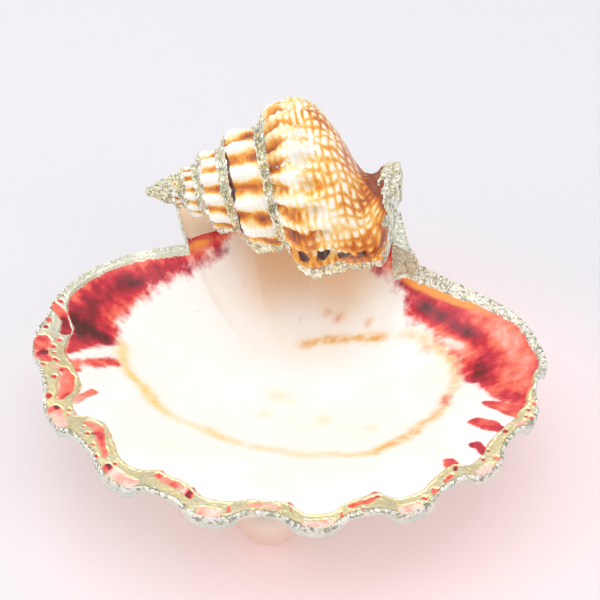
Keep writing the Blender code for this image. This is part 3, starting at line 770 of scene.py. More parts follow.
def pearl_material():
    """Pale pink pearl: a soft sheen over a faintly clouded body."""
    material, shader, bench = new_material("pink_pearl")
    place = bench.place()
    cloudy = bench.mottle(place, 45.0, 0.2, 0.8)
    facing = bench.node("ShaderNodeLayerWeight", {"Blend": 0.35}).outputs["Facing"]
    body = bench.mix(cloudy, tuple(bpy.context.scene.dish_pearls.body), tint(0.99, 0.92, 0.86))
    body = bench.mix(bench.math("MULTIPLY", facing, 0.6), body, tint(0.86, 0.66, 0.58))
    bench.feed(shader.inputs["Base Color"], body)
    bench.feed(shader.inputs["Roughness"], bench.math("MULTIPLY_ADD", cloudy, 0.08, 0.24))
    shader.inputs["Metallic"].default_value = 0.25
    shader.inputs["Coat Weight"].default_value = 0.8
    shader.inputs["Coat Roughness"].default_value = 0.12
    add_bump(bench, shader, bench.noise(place, 300.0, 2.0), 0.00005, 0.2)
    return material


# The pieces


def band_table(table, at):
    """Reads a table of places and values by straight lines between its points."""
    places, values = np.array(table, dtype=float).T
    return np.interp(at, places, values)


def bearing_table(table, degrees, outside):
    """Reads a table by bearing, and gives the outside value past its ends."""
    places, values = np.array(table, dtype=float).T
    return np.interp(degrees, places, values, left=outside, right=outside)


def laid_over(below, mask, above):
    """One field covered by a value where the mask says so."""
    return below * (1.0 - mask) + above * mask


def red_and_tone(margin, depth, share):
    """Where the hollow side is red and how deep that red is, with the strokes at the margin."""
    degrees = np.broadcast_to(margin.degrees, depth.shape)
    along = np.broadcast_to(margin.along, depth.shape)
    edge = np.minimum(bearing_table(RED_LEFT, degrees, 1.3), bearing_table(RED_RIGHT, degrees, 1.3))
    inward = (share - edge) * margin.disc
    red = np.clip(0.5 + 0.2 * inward, -1.0, 2.0)
    tone = 0.48 + 0.12 * smooth_step(inward, 0.0, 4.0)
    for middle, level, half, half_share, amount in RED_PATCHES:
        tone = tone + amount * bell(degrees, middle, half) * bell(share, level, half_share)

    under_leaf = smooth_step(band_table(GILDING_EDGE, margin.units) - depth, -0.6, 0.6)
    front = smooth_step(margin.units, -5.0, -4.8) * (1.0 - smooth_step(margin.units, 3.9, 4.1))
    pale = under_leaf * front
    tone = laid_over(tone, pale, 0.07)
    red = np.maximum(red, pale * 1.2)
    for chain, depth_of_tone in STROKES:
        away = chain_distance(along, depth, chain, margin)
        mask = 1.0 - smooth_step(away, -0.35, 0.45 + 1.6 * smooth_step(depth, 5.0, 8.0))
        tone = laid_over(tone, mask, depth_of_tone)
        red = np.maximum(red, mask * 1.2)
    for units, deep, half in HOLES:
        mask = bell(np.hypot(along - margin.along_at(units), depth - deep), 0.0, half * 1.3)
        tone = laid_over(tone, mask, 0.7)

    finger = bell(degrees, np.interp(share, [0.68, 0.87], [-79, -71]), 2.6)
    finger = finger * smooth_step(share, 0.66, 0.70) * (1.0 - smooth_step(share, 0.86, 0.90))
    fan = bell(degrees, 75.0, 5.0) * bell(share, 0.65, 0.03)
    red = np.maximum.reduce([red, finger * 0.9, fan * 0.55])
    return red, laid_over(laid_over(tone, finger, 0.42), fan, 0.42)


def yellow_and_rust(margin, depth, share):
    """The mantle line, the scar of the muscle and the spots, as yellow and as rust."""
    degrees = np.broadcast_to(margin.degrees, depth.shape)
    yellow = np.zeros_like(depth)
    for line in (MANTLE_LINE, SCAR_LINE):
        table = np.array(line)
        level = bearing_table(table[:, :2], degrees, -1.0)
        strength = bearing_table(table[:, [0, 2]], degrees, 0.0)
        yellow = np.maximum(yellow, strength * bell((share - level) * margin.disc, 0.0, 1.7))
    rust = 0.6 * yellow * smooth_step(degrees, 20.0, 50.0)
    x = share * margin.disc * np.sin(np.radians(degrees))
    y = share * margin.disc * np.cos(np.radians(degrees))
    for middle, level, half, strength, rustiness in SPOTS:
        bearing = np.radians(middle)
        reach = level * disc_reach(bearing % TURN)
        away = np.hypot(x - reach * np.sin(bearing), y - reach * np.cos(bearing))
        spot = strength * bell(away, 0.0, half)
        yellow = np.maximum(yellow, spot * (1.0 - rustiness))
        rust = np.maximum(rust, spot * rustiness)
    front_left = smooth_step(degrees, -100, -60) * (1.0 - smooth_step(degrees, 10, 40))
    yellow = yellow + 0.14 * bell(share, 0.09, 0.04) * front_left
    return np.clip(yellow, 0.0, 1.0), np.clip(rust, 0.0, 1.0)


def valve_colours(margin, depth, share):
    """The fields that the valve's material reads, at each distance from the margin and share."""
    degrees = np.broadcast_to(margin.degrees, depth.shape)
    red, tone = red_and_tone(margin, depth, share)
    yellow, rust = yellow_and_rust(margin, depth, share)
    orange = 1.1 * bell(degrees, 124.0, 20.0) * bell(share, 0.935, 0.036)
    orange = np.maximum(orange, 0.9 * bell(degrees, -137.0, 6.0) * bell(share, 0.972, 0.02))
    ear = margin.on_ear * smooth_step(share, 0.98, 1.02)
    # Painted shade of the snail shell: a tan tint on the hollow side near the hinge.
    snail_shadow_by_hinge = smooth_step(np.abs(degrees), 138, 165) * smooth_step(share, 0.5, 0.85)
    return {
        "red": np.where(ear > 0.5, 0.0, red), "tone": np.clip(tone, 0.0, 1.0), "yellow": yellow,
        "rust": rust, "orange": orange, "shade": 0.7 * ear + 0.8 * snail_shadow_by_hinge * (1.0 - ear),
        "fan_turn": degrees * 0.42, "fan_reach": share * 5.0,
    }


def plan_at(margin, reach):
    """Points seen from above, at distances from the middle of the bowl in the margin's directions."""
    return VALVE_MIDDLE + reach[..., None] * margin.outward


def raised_to(height, plan, lift=0.0):
    """Points seen from above with the height that a function gives there, plus a lift."""
    level = height(plan[..., 0], plan[..., 1]) + lift
    return np.concatenate([plan, level[..., None]], axis=-1)


def rim_arc(edge_top, edge_bottom, margin, turn):
    """Rows round the rim: the height falls by (1 - cos)/2 while the rim bulges outwards by a sine."""
    outward = np.column_stack([margin.outward, np.zeros(len(margin.outward))])
    fall = (1.0 - np.cos(turn)) / 2.0
    return edge_top + (edge_bottom - edge_top) * fall + outward * EDGE_BULGE * np.sin(turn), outward


def make_valve():
    """The whole valve: hollow side, rounded rim and grooved underside, closed at both middles.

    A point is the middle of the bowl plus reach times the margin's direction. The reach grows in
    two even stretches, with the knee 12 mm from the margin, or at the edge of the disc by an ear.
    """
    columns, inner_rows, outer_rows, rim_rows, under_rows = 720, 44, 25, 7, 44
    margin = Margin(columns)
    whole = margin.whole - bpy.context.scene.dish_valve.leaf_room / MM
    knee = laid_over(whole - 12.0, margin.on_ear, np.minimum(margin.disc, whole - 1.0))
    inner = knee * (np.arange(1, inner_rows + 1) / inner_rows)[:, None]
    outer = knee + (whole - EDGE_INSET - knee) * (np.arange(1, outer_rows + 1) / outer_rows)[:, None]
    reach = np.vstack([inner, outer])
    top = raised_to(bowl_height, plan_at(margin, reach))

    plan = plan_at(margin, whole * np.linspace(1.0, 0.03, under_rows)[:, None] - EDGE_INSET)
    number, _ = rib_number(plan[..., 0], plan[..., 1])
    far = np.hypot(plan[..., 0] - UMBO[0], plan[..., 1] - UMBO[1])
    riblets = 0.5 + 0.5 * np.cos(TURN * number * 5.0)
    growth = 0.5 + 0.5 * np.cos(TURN * far / 3.1)
    groove = (0.22 * riblets + 0.12 * growth) * smooth_step(far, 8.0, 30.0) * (1.0 - margin.on_ear)
    bottom = raised_to(outer_height, plan, groove)
    turn = (np.arange(1, rim_rows + 1) / (rim_rows + 1))[:, None, None] * np.pi
    rim, _ = rim_arc(top[-1], bottom[0], margin, turn)

    rows = np.concatenate([top, rim, bottom])
    middle = VALVE_MIDDLE[None, :]
    poles = np.vstack([raised_to(bowl_height, middle), raised_to(outer_height, middle)])
    points = np.vstack([rows.reshape(-1, 3), poles])
    quads = grid_quads(len(rows), columns)[..., ::-1].reshape(-1, 4)
    faces = quads.tolist() + cap_faces(len(rows), columns)
    slots = np.ones(len(faces), dtype=np.int32)
    slots[: (len(top) - 1) * columns] = 0
    slots[len(quads): len(quads) + columns] = 0

    fields = {}
    for name, values in valve_colours(margin, margin.whole - reach, reach / margin.disc).items():
        filled = np.zeros(len(points))
        filled[: values.size] = values.ravel()
        filled[-2] = values[0].mean()
        fields[name] = filled
    materials = [valve_inside_material(), valve_outside_material()]
    piece = make_piece("valve_body", points, faces, materials, fields, slots)
    finish_piece(piece, "scallop_shell", "scallop_valve")
    return piece


def gilding_cover(margin, depth):
    """Signed distance into the gilding in mm: the least of its inner edge and all its windows."""
    along = np.broadcast_to(margin.along, depth.shape)
    spot = np.stack([along, depth, np.zeros_like(depth)], axis=-1)
    wobble = 0.22 * random_field(spot, 1.6, 3) + 0.12 * random_field(spot, 0.6, 4)
    inner = band_table(GILDING_EDGE, margin.units) - depth
    cover = inner.copy()
    for chain in WINDOWS:
        cover = np.minimum(cover, chain_distance(along, depth, chain, margin))
    for units, inward, half in HOLES:
        chain = [(units, inward, half), (units, inward + 0.01, half)]
        cover = np.minimum(cover, chain_distance(along, depth, chain, margin))
    return cover + wobble, inner


def gilded_top(margin, depth):
    """The band's upper side: the hollow side raised by leaf, crumpled, with a bead at its edges."""
    thickness = bpy.context.scene.dish_gilding.thickness / MM
    top = raised_to(bowl_height, plan_at(margin, margin.whole - depth))
    cover, inner = gilding_cover(margin, depth)
    calm = 0.35 + 0.65 * smooth_step(margin.units, -5.3, -4.9)
    crumple = calm * 0.07 * random_field(top, 0.8, 11) + 0.05 * random_field(top, 0.42, 12)
    bead = 0.16 * bell(inner, 0.45, 0.3) + 0.05 * bell(cover, 0.5, 0.3)
    raised = smooth_step(cover, -0.3, 0.25)
    outermost = smooth_step(depth, 1.6, 0.7)
    rough = crumple * (1.0 + 1.3 * outermost) + bead
    top[..., 2] += -0.35 + (0.35 + thickness) * raised + raised * rough
    nudge = 0.15 * raised * outermost * random_field(top, 0.5, 13)
    top[..., :2] -= nudge[..., None] * margin.outward
    return top


def gilded_rim(margin, whole, count):
    """The leaf round the rim: a rough arc that sinks into the shell where the gilding ends."""
    sizes = bpy.context.scene.dish_gilding
    edge = plan_at(margin, whole - EDGE_INSET)
    last = np.pi * sizes.rim_share
    turn = (np.arange(1, count + 1) / (count + 1))[:, None] * last
    ends = raised_to(bowl_height, edge), raised_to(outer_height, edge)
    rim, outward = rim_arc(*ends, margin, turn[..., None])
    rough = 0.16 * random_field(rim, 0.55, 14) + 0.10 * random_field(rim, 1.3, 15)
    fade = 1.0 - smooth_step(turn, 0.55 * last, last)
    proud = (0.12 + rough) * fade - 0.25 * (1.0 - fade)
    rim = rim + outward * (proud * np.sin(turn) ** 0.5)[..., None]
    rim[..., 2] += sizes.thickness / MM * np.cos(turn).clip(0, 1) + 0.5 * rough * fade
    return rim


def gilding_fields(margin, depth, shape):
    """How silver and how crushed the leaf is, on the upper rows and then on the rim and the floor."""
    top = len(depth)
    units = np.broadcast_to(margin.units, shape)
    silver = 0.25 + 0.75 * smooth_step(np.abs(units), 4.0, 4.8)
    silver[top:] = 0.8
    silver[:top] = np.maximum(silver[:top], 0.9 * smooth_step(depth, 1.8, 0.9))
    crush = np.full(shape, 0.12)
    crush[:top] += 0.88 * smooth_step(depth, 1.7, 0.9) * smooth_step(margin.units, -5.2, -4.9)
    crush[top:] = 0.15 + 0.75 * smooth_step(margin.units, -5.6, -5.0)
    right = (0.75 - 0.4 * smooth_step(units, 5.2, 5.6)) * smooth_step(units, 4.0, 4.5)
    return {"silver": silver, "crush": np.maximum(crush, right)}


def make_gilded_margin():
    """The gilding: one closed band wrapped round the margin, 0.3 mm proud of the shell.

    Its height over the shell rises from a hidden floor to the leaf along the signed distance into
    the gilding, so windows are where it dips under the shell.
    """
    columns, top_rows, rim_rows, floor_rows = 1500, 40, 9, 6
    margin = Margin(columns)
    inset = bpy.context.scene.dish_valve.leaf_room / MM
    whole = margin.whole - inset
    width = band_table(GILDING_EDGE, margin.units) + 1.2
    steps = (np.arange(top_rows) / (top_rows - 1))[::-1, None] ** 1.05
    depth = inset + EDGE_INSET + steps * width
    back = np.linspace(0.05, 0.95, floor_rows)[:, None]
    under = laid_over(whole - 0.8, back, margin.whole - depth[0])
    floor = raised_to(bowl_height, plan_at(margin, under), -0.7)
    rows = np.concatenate([gilded_top(margin, depth), gilded_rim(margin, whole, rim_rows), floor])
    quads = grid_quads(len(rows) + 1, columns)[..., ::-1] % (len(rows) * columns)
    fields = gilding_fields(margin, depth, rows.shape[:2])
    faces = quads.reshape(-1, 4).tolist()
    piece = make_piece("gilded_margin", rows.reshape(-1, 3), faces, [gilding_material()], fields)
    finish_piece(piece, "scallop_shell")
    return piece


def whorl_profile(u):
    """Radius of one whorl over its scale: a round shoulder up to u = 1, then a falling base."""
    shoulder = np.sqrt(np.clip(1.0 - ((1.0 - u) / 0.25) ** 2, 0.0, 1.0))
    base = 1.0 - 0.86 * smooth_step(u, *BASE_FALL)
    return WHORL_FATNESS * np.where(u < 1.0, shoulder, base)


def lip_nearness(turn_before_lip):
    """1 at the lip, fading over the last eighth of a turn as a bell curve."""
    return np.exp(-((turn_before_lip / LIP_FADE) ** 2))


def snail_surface(turn, along):
    """Radius about the axis and what lies there, from the largest of all whorls.

    The scale of the spiral falls by the whorl growth with each full turn back from the lip. Returns
    the radius, the turns back and the place u across the whorl.
    """
    sizes = bpy.context.scene.dish_snail
    back = np.mod(LIP_ANGLE - turn, TURN)
    cone = SPIRE_CONE * along * (1.0 - smooth_step(along, *SPIRE_CONE_ENDS))
    radius = np.maximum(cone, 0.25) * np.ones_like(turn)
    turns = np.full_like(radius, 6.9)
    across = np.ones_like(radius)
    for whorl in range(WHORL_COUNT):
        turns_back = back / TURN + whorl
        scale = BODY_SCALE * WHORL_GROWTH**-turns_back
        u = along / scale
        spire = np.sin(np.pi * np.clip((turns_back - 0.4) / 3.2, 0.0, 1.0))
        profile = whorl_profile(u) * (1.0 + SPIRE_FATNESS * spire)
        knobs = KNOBS_PER_TURN
        row = 0.9 * bell(u, 0.96, 0.14)
        if whorl == 0:
            width = smooth_step(u, 0.95, 1.1) * (1.0 - smooth_step(u, 1.34, 1.47))
            profile = profile + lip_nearness(back) * width * (LIP_RADIUS - whorl_profile(u))
            knobs = BODY_KNOBS
            row = bell(u, 0.88, 0.06) + 0.85 * bell(u, 1.07, 0.06)
        wave = np.cos(knobs * turns_back * TURN)
        here = scale * (profile + sizes.knob_height * row * (wave - 0.5) * (profile > 0.1))
        wins = here > radius
        turns = np.where(wins, turns_back + 0.0 * u, turns)
        across = np.where(wins, u, across)
        radius = np.maximum(radius, here)
    return radius, turns, across


def snail_frame():
    """Unit directions of the snail shell's axis, of its top side and of its front side."""
    axis = CANAL_TIP - SPIRE_TIP
    length = np.linalg.norm(axis)
    axis = axis / length
    front = np.cross((0.0, 0.0, 1.0), axis) * -1.0
    front /= np.linalg.norm(front)
    top = np.cross(front, axis)
    top *= np.sign(top[2])
    return axis, top, front, length


class SnailOutside:
    """The outside of the snail shell as rows along its axis, each a turn about it.

    along and radius are in millimetres. degrees is the turn back to the lip, turns the full turns
    back, across the place across the whorl, spot the point itself, body true on the last whorl and
    neck 1 below its knobs. knob, cords and beads are cosines that follow the relief.
    """

    def __init__(self, rows, columns):
        self.length = snail_frame()[3]
        self.along = (0.6 + (self.length - 0.6) * np.linspace(0.0, 1.0, rows))[:, None]
        turn = LIP_ANGLE + LIP_STEP + np.linspace(0.0, 1.0, columns)[None, :] * (TURN - LIP_STEP)
        self.turn = turn + 0.0 * self.along
        self.radius, self.turns, self.across = snail_surface(before_lip(turn), self.along)
        self.degrees = np.degrees(np.mod(LIP_ANGLE - before_lip(self.turn), TURN))
        flat = (self.along + 0.0 * turn, self.radius * np.cos(turn), self.radius * np.sin(turn))
        self.spot = np.stack(flat, axis=-1)
        self.body = self.turns < 1.0
        self.neck = smooth_step(self.across, 1.36, 1.46)
        far_end = 1.0 - smooth_step(self.along, self.length - 9.0, self.length - 4.0)
        self.fade = smooth_step(self.along, 5.0, 14.0) * far_end
        self.knob = np.cos(np.where(self.body, BODY_KNOBS, KNOBS_PER_TURN) * self.turns * TURN)
        self.cords = np.cos(TURN * (self.across + 0.013 * random_field(self.spot, 5.0, 31)) / 0.044)
        self.beads = np.cos(TURN * (self.turns * 45.0 + 0.55 * random_field(self.spot, 4.0, 32)))


def before_lip(turn):
    """The turn, kept just short of the lip, where the outermost whorl ends."""
    return np.minimum(turn, LIP_ANGLE + TURN - 1e-6)


def snail_gilding(shell):
    """Where the shell is gilded, along the sutures, round the lip and at both tips, and its canal."""
    along, length = shell.along, shell.length
    suture_place = bpy.context.scene.dish_snail.suture_place
    ragged = random_field(shell.spot, 1.4, 23)
    scale = BODY_SCALE * WHORL_GROWTH**-shell.turns
    above = np.abs(shell.across - suture_place) * scale
    below = np.abs(shell.across - WHORL_GROWTH * suture_place) * scale
    below = np.where(shell.turns > 1.0, below, 9.0)
    suture = 1.0 - smooth_step(np.minimum(above, below * 1.3) + 0.6 * ragged, 1.3, 2.0)
    suture = suture * (shell.turns > 0.02) * (along > 7.0) * (along < length - 16.0)
    lip = 1.0 - smooth_step(shell.degrees + 2.0 * ragged, 6.0, 9.5)
    lip = lip * smooth_step(along, 17.0, 21.0)
    tip = 1.0 - smooth_step(along + 1.2 * ragged, 8.5, 10.0)
    canal = smooth_step(along + 1.5 * ragged, length - 5.5, length - 4.0) + 0.0 * shell.turn
    return np.maximum.reduce([0.95 * suture, lip, tip, canal]), canal


def snail_relief(shell, gild, chalk):
    """Cords, beads, leaf, teeth of the lip, chalk and the folds of the neck, in millimetres."""
    along, spot = shell.along, shell.spot
    fine = np.where(shell.body, 0.20 * shell.cords + 0.10 * shell.beads, 0.10 * shell.cords)
    relief = shell.fade * fine - 0.7 * smooth_step(along, 3.0, 8.0)
    relief = relief + 0.05 * random_field(spot, 1.1, 21) + 0.10 * random_field(spot, 3.5, 22)
    relief = relief + smooth_step(gild, 0.4, 0.7) * (0.38 + 0.30 * random_field(spot, 0.9, 24))
    teeth = np.maximum(0.0, random_field(spot * (1.0, 0.0, 0.0), 1.7, 25)) ** 1.5
    teeth = teeth * bell(shell.degrees, 0.0, 5.0) * (along > 22) * (along < 62)
    relief = relief + bpy.context.scene.dish_snail.tooth_length / MM * teeth
    relief = relief + 0.18 * smooth_step(chalk + 0.6 * random_field(spot, 1.2, 26), 0.35, 0.7)
    return relief + 0.10 * shell.neck * shell.body * np.cos(TURN * shell.turns * 95.0) * shell.fade


def snail_colours(shell):
    """Where the snail shell is orange, rosy and dark, by its cords, knobs and whorls."""
    along, spot, across, degrees = shell.along, shell.spot, shell.across, shell.degrees
    block = np.minimum(shell.cords + 0.65, shell.beads + 0.55)
    shoulder = 1.0 - smooth_step(across, 0.92, 1.08)
    uneven = 1.0 - 0.5 * random_field(spot, 9.0, 33)
    bricks = 0.60 - 0.33 * block * (1.0 - 0.6 * shoulder) * uneven
    bricks = bricks + 0.46 * random_field(spot, 7.0, 27) - 0.40 * shell.knob * shoulder
    bricks = bricks + 0.3 * bell(degrees, 34.0, 9.0) + 0.5 * bell(degrees, 17.0, 4.0) + 0.8 * shell.neck
    bands = 0.40 - 0.62 * shell.knob * smooth_step(across, 0.80, 0.88)
    bands = bands + 0.25 * smooth_step(across, 1.02, 1.12) + 0.35 * random_field(spot, 3.0, 28)
    bands = bands - 0.3 * smooth_step(shell.turns, 1.9, 2.3)
    high = 0.45 * bell(along, 33.0, 5.0) * bell(degrees, 125.0, 22.0)
    low = 0.5 * bell(degrees, 36.0, 5.0) * bell(along, 45.0, 6.0)
    dash = 0.75 + 0.45 * np.cos(TURN * along / 5.3)
    dark = shell.body * bell(degrees, 22.0, 3.6) * dash * smooth_step(along, 24.0, 28.0)
    dark = dark * (1.0 - smooth_step(along, 56.0, 61.0))
    line = bell(across, bpy.context.scene.dish_snail.suture_place + 0.07, 0.03)
    line = line * (shell.turns > 0.9) * (shell.turns < 2.1)
    dark = np.maximum(dark, line * (0.62 + 0.5 * random_field(spot, 4.0, 34)))
    return {"orange": np.where(shell.body, bricks, bands), "rosy": shell.body * (high + low), "dark": dark}


def snail_inside(shell, radius, columns):
    """Turns and radii of the hollow: from the lip inwards under it and out again to the wall behind.

    The turn dips by the depth of the hollow times a sine, and the radius eases from the lip less
    its wall to the wall behind, never nearer than 2.4 mm to the outside.
    """
    depth = bpy.context.scene.dish_snail.aperture_depth
    reach = smooth_step(shell.along, 31.0, 41.0) * (1.0 - smooth_step(shell.along, 54.0, 61.0))
    t = np.linspace(0.0, 1.0, columns + 2)[None, 1:-1]
    arch = np.sin(np.pi * t)
    lip_turn = LIP_ANGLE + TURN
    turn = lip_turn + LIP_STEP * (1.0 - smooth_step(t, 0.0, 0.4)) - depth * reach * arch**0.8
    behind = radius[:, :1]
    inner = behind + (radius[:, -1:] - 1.4 - 1.2 * arch - behind) * smooth_step(t, 0.1, 0.85)
    inner = inner - 2.5 * arch * reach * smooth_step(behind, 3.0, 8.0)
    most = snail_surface(before_lip(turn), shell.along)[0] - 2.4
    inner = np.where(turn < lip_turn, np.minimum(inner, most), inner)
    return t, turn[:, ::-1], inner[:, ::-1]


def snail_points(shell, turn, radius):
    """Points at turns and radii about the bent axis, kept clear over the valve."""
    axis, top, front, length = snail_frame()
    along = shell.along
    bend = CANAL_BEND * np.sin(np.pi * smooth_step(along, 0.72 * length, length)) ** 2
    bend = bend * (1.0 - lip_nearness(np.mod(LIP_ANGLE - turn, TURN)))
    centre = SPIRE_TIP + along[..., None] * axis - bend[..., None] * (top + front * -0.2)
    outward = np.cos(turn)[..., None] * top + np.sin(turn)[..., None] * front
    rows = centre + radius[..., None] * outward
    x, y = rows[..., 0], rows[..., 1]
    floor = bowl_height(x, y) + GAP + 0.5
    on_valve = (np.abs(x) < 60.0) & (y < 69.0)
    rows[..., 2] = np.where(on_valve, np.maximum(rows[..., 2], floor), rows[..., 2])
    return rows


def make_snail():
    """The snail shell: outside, lip and the hollow behind it as one closed surface.

    Each row is a closed curve about the axis: back from the wall behind the lip over the whole
    outside to the lip, then inwards under the lip and out again along the wall behind it.
    """
    row_count, outside, inside = 250, 330, 40
    shell = SnailOutside(row_count, outside)
    gild, canal = snail_gilding(shell)
    chalk = 0.62 * bell(shell.along, 44.0, 7.0) * bell(shell.degrees, 98.0, 22.0) * shell.body
    radius = shell.radius + snail_relief(shell, gild, chalk)
    t, inner_turn, inner_radius = snail_inside(shell, radius, inside)
    rows = snail_points(shell, np.hstack([shell.turn, inner_turn]), np.hstack([radius, inner_radius]))

    columns = outside + inside
    axis, _, _, length = snail_frame()
    points = np.vstack([rows.reshape(-1, 3), SPIRE_TIP, SPIRE_TIP + axis * (length + 0.8)])
    quads = grid_quads(row_count, columns).reshape(-1, 4)
    faces = quads.tolist() + cap_faces(row_count, columns, turned=True)
    leaf_inside = np.where(t < 0.12, 1.0, 0.0) * smooth_step(shell.along, 17.0, 21.0)
    inner_values = {"gild": np.maximum(leaf_inside, canal[:, :1]), "orange": 0.25, "rosy": 0.1}
    fields = {}
    for name, values in {"gild": gild, **snail_colours(shell), "chalk": chalk}.items():
        filled = np.zeros((row_count, columns))
        filled[:, :outside] = values
        filled[:, outside:] = inner_values.get(name, 0.0)
        fields[name] = np.append(filled.ravel(), [filled[0].mean(), filled[-1].mean()])
    piece = make_piece("snail_body", points, faces, [snail_material()], fields)
    finish_piece(piece, "snail_shell", "snail_shell")
    crusted = (fields["gild"][:-2] > 0.75).reshape(row_count, columns)
    return rows[:, : outside - 1], crusted[:, : outside - 1]


def grain_shape():
    """Corners and faces of an icosahedron of radius 1."""
    golden = (1.0 + 5.0**0.5) / 2.0
    corners = []
    for a in (-1.0, 1.0):
        for b in (-golden, golden):
            corners += [(0.0, a, b), (a, b, 0.0), (b, 0.0, a)]
    corners = np.array(corners)
    corners /= np.linalg.norm(corners[0])
    faces = []
    near = 1.1
    for i in range(12):
        for j in range(i + 1, 12):
            for k in range(j + 1, 12):
                sides = corners[[i, j, k]] - corners[[j, k, i]]
                if np.linalg.norm(sides, axis=1).max() < near:
                    outward = np.dot(np.cross(corners[j] - corners[i], corners[k] - corners[i]), corners[i])
                    faces.append((i, j, k) if outward > 0 else (i, k, j))
    return corners, np.array(faces)


def scatter_grains(name, places, radii, seed, slot, material):
    """Small crushed lumps of leaf at the places, each a dented icosahedron turned at random."""
    random = np.random.default_rng(seed)
    corners, faces = grain_shape()
    count = len(places)
    axes = np.linalg.qr(random.normal(size=(count, 3, 3)))[0]
    axes *= np.sign(np.linalg.det(axes))[:, None, None]
    dents = random.uniform(0.7, 1.15, size=(count, 12, 1))
    squash = random.uniform(0.55, 1.1, size=(count, 1, 3))
    shapes = np.einsum("cij,ckj->cki", axes, corners[None] * dents * squash)
    points = places[:, None, :] + shapes * radii[:, None, None]
    all_faces = (faces[None] + 12 * np.arange(count)[:, None, None]).reshape(-1, 3)
    silver = np.repeat(random.uniform(0.2, 1.0, count), 12)
    fields = {"silver": silver, "crush": silver}
    piece = make_piece(name, points.reshape(-1, 3), all_faces.tolist(), [material], fields)
    piece.data.shade_flat()
    finish_piece(piece, slot)
    return piece


def make_pearl(name, node, material):
    """A pearl bead in the box of its solid: rings of a sphere, flat where it stands."""
    low, high = (np.array(corner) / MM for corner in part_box(node))
    radius = (high[0] - low[0]) / 2.0
    middle = np.array([(low[0] + high[0]) / 2.0, (low[1] + high[1]) / 2.0, high[2] - radius])
    rings, columns = 60, 96
    lowest = np.arccos((low[2] - middle[2]) / radius)
    polar = np.linspace(0.0, lowest, rings + 1)[1:, None]
    around = np.arange(columns)[None, :] * TURN / columns
    level = np.cos(polar) * np.ones_like(around)
    ball = np.stack([np.sin(polar) * np.cos(around), np.sin(polar) * np.sin(around), level], axis=-1)
    poles = [(0.0, 0.0, 1.0), (0.0, 0.0, np.cos(lowest))]
    points = np.vstack([ball.reshape(-1, 3), *poles]) * radius + middle - frame_shift()
    quads = grid_quads(rings, columns)[..., ::-1].reshape(-1, 4)
    piece = make_piece(name, points, quads.tolist() + cap_faces(rings, columns), [material])
    finish_piece(piece, "pearl", node)
    return piece


def make_sweep():
    """The sweep: flat under the dish and rising behind it by 0.55 times the distance squared."""
    steps, across = 60, 3
    reach = np.linspace(-2.0, 2.2, steps)
    rise = 0.55 * np.maximum(reach - 0.75, 0.0) ** 2
    side = np.tile(np.linspace(-2.5, 2.5, across), steps)
    points = np.stack([side, np.repeat(reach, across), np.repeat(rise, across)], axis=1)
    corner = (np.arange(steps - 1)[:, None] * across + np.arange(across - 1)).reshape(-1, 1)
    mesh = bpy.data.meshes.new("sweep")
    mesh.from_pydata(points.tolist(), [], (corner + [0, 1, across + 1, across]).tolist())
    mesh.shade_smooth()
    mesh.materials.append(paper_material())
    sweep = bpy.data.objects.new("sweep", mesh)
    bpy.context.scene.collection.objects.link(sweep)


def paper_material():
    """Pale lavender paper with painted light: a painted pink shade and reflection round the dish, and an
    emission glow, pinker near the dish, that lifts its shadow.
    """
    colours = bpy.context.scene.dish_stage
    material, shader, bench = new_material("lavender_paper")
    place = bench.place()
    patches = bench.mottle(place, 3.0, 0.3, 0.7)
    away = bench.node("ShaderNodeVectorMath", {0: place, 1: (0.015, -0.015, 0.0)}, operation="DISTANCE")
    away = away.outputs["Value"]
    # under marks the painted pink shade and reflection of the red shell round the dish.
    under = bench.math("SUBTRACT", 1.0, bench.ease(away, 0.035, 0.11))
    near = bench.math("SUBTRACT", 1.0, bench.ease(away, 0.035, 0.115))
    paper = bench.mix(patches, tuple(colours.paper), tint(0.85, 0.84, 0.865))
    paper = bench.mix(bench.math("MULTIPLY", under, 0.55), paper, tint(0.93, 0.76, 0.765))
    # Painted light: the paper glows all over, pinker near the dish, to lift the dish's shadow.
    glow = bench.mix(near, tint(0.46, 0.50, 0.41), tint(0.87, 0.80, 0.77))
    bench.feed(shader.inputs["Base Color"], paper)
    bench.feed(shader.inputs["Roughness"], bench.math("MULTIPLY_ADD", patches, 0.1, 0.5))
    bench.feed(shader.inputs["Emission Color"], glow)
    shader.inputs["Emission Strength"].default_value = colours.painted_floor_glow
    return material


def make_lights():
    """Three softboxes and the light of the room."""
    colours = bpy.context.scene.dish_stage
    over, side = colours.overhead_power, colours.side_power
    lamps = {
        "overhead_softbox": ((-0.10, 0.05, 0.9), 1.1, over, (1.0, 0.98, 0.97)),
        "left_softbox": ((-0.75, -0.25, 0.45), 0.5, side, (0.98, 0.97, 1.0)),
        "right_softbox": ((0.70, -0.35, 0.50), 0.4, side * 0.6, (1.0, 0.97, 0.98)),
    }
    for name, (spot, size, power, colour) in lamps.items():
        lamp = bpy.data.lights.new(name, "AREA")
        lamp.shape = "SQUARE"
        lamp.size = size
        lamp.energy = power
        lamp.color = colour
        holder = bpy.data.objects.new(name, lamp)
        holder.location = spot
        aim = Vector((0.0, 0.01, 0.02)) - Vector(spot)
        holder.rotation_euler = aim.to_track_quat("-Z", "Y").to_euler()
        bpy.context.scene.collection.objects.link(holder)
    world = bpy.data.worlds.new("studio")
    world.use_nodes = True
    background = world.node_tree.nodes["Background"]
    background.inputs["Color"].default_value = tuple(colours.room)
    background.inputs["Strength"].default_value = colours.room_strength
    bpy.context.scene.world = world
    bpy.context.scene.view_settings.view_transform = "Standard"


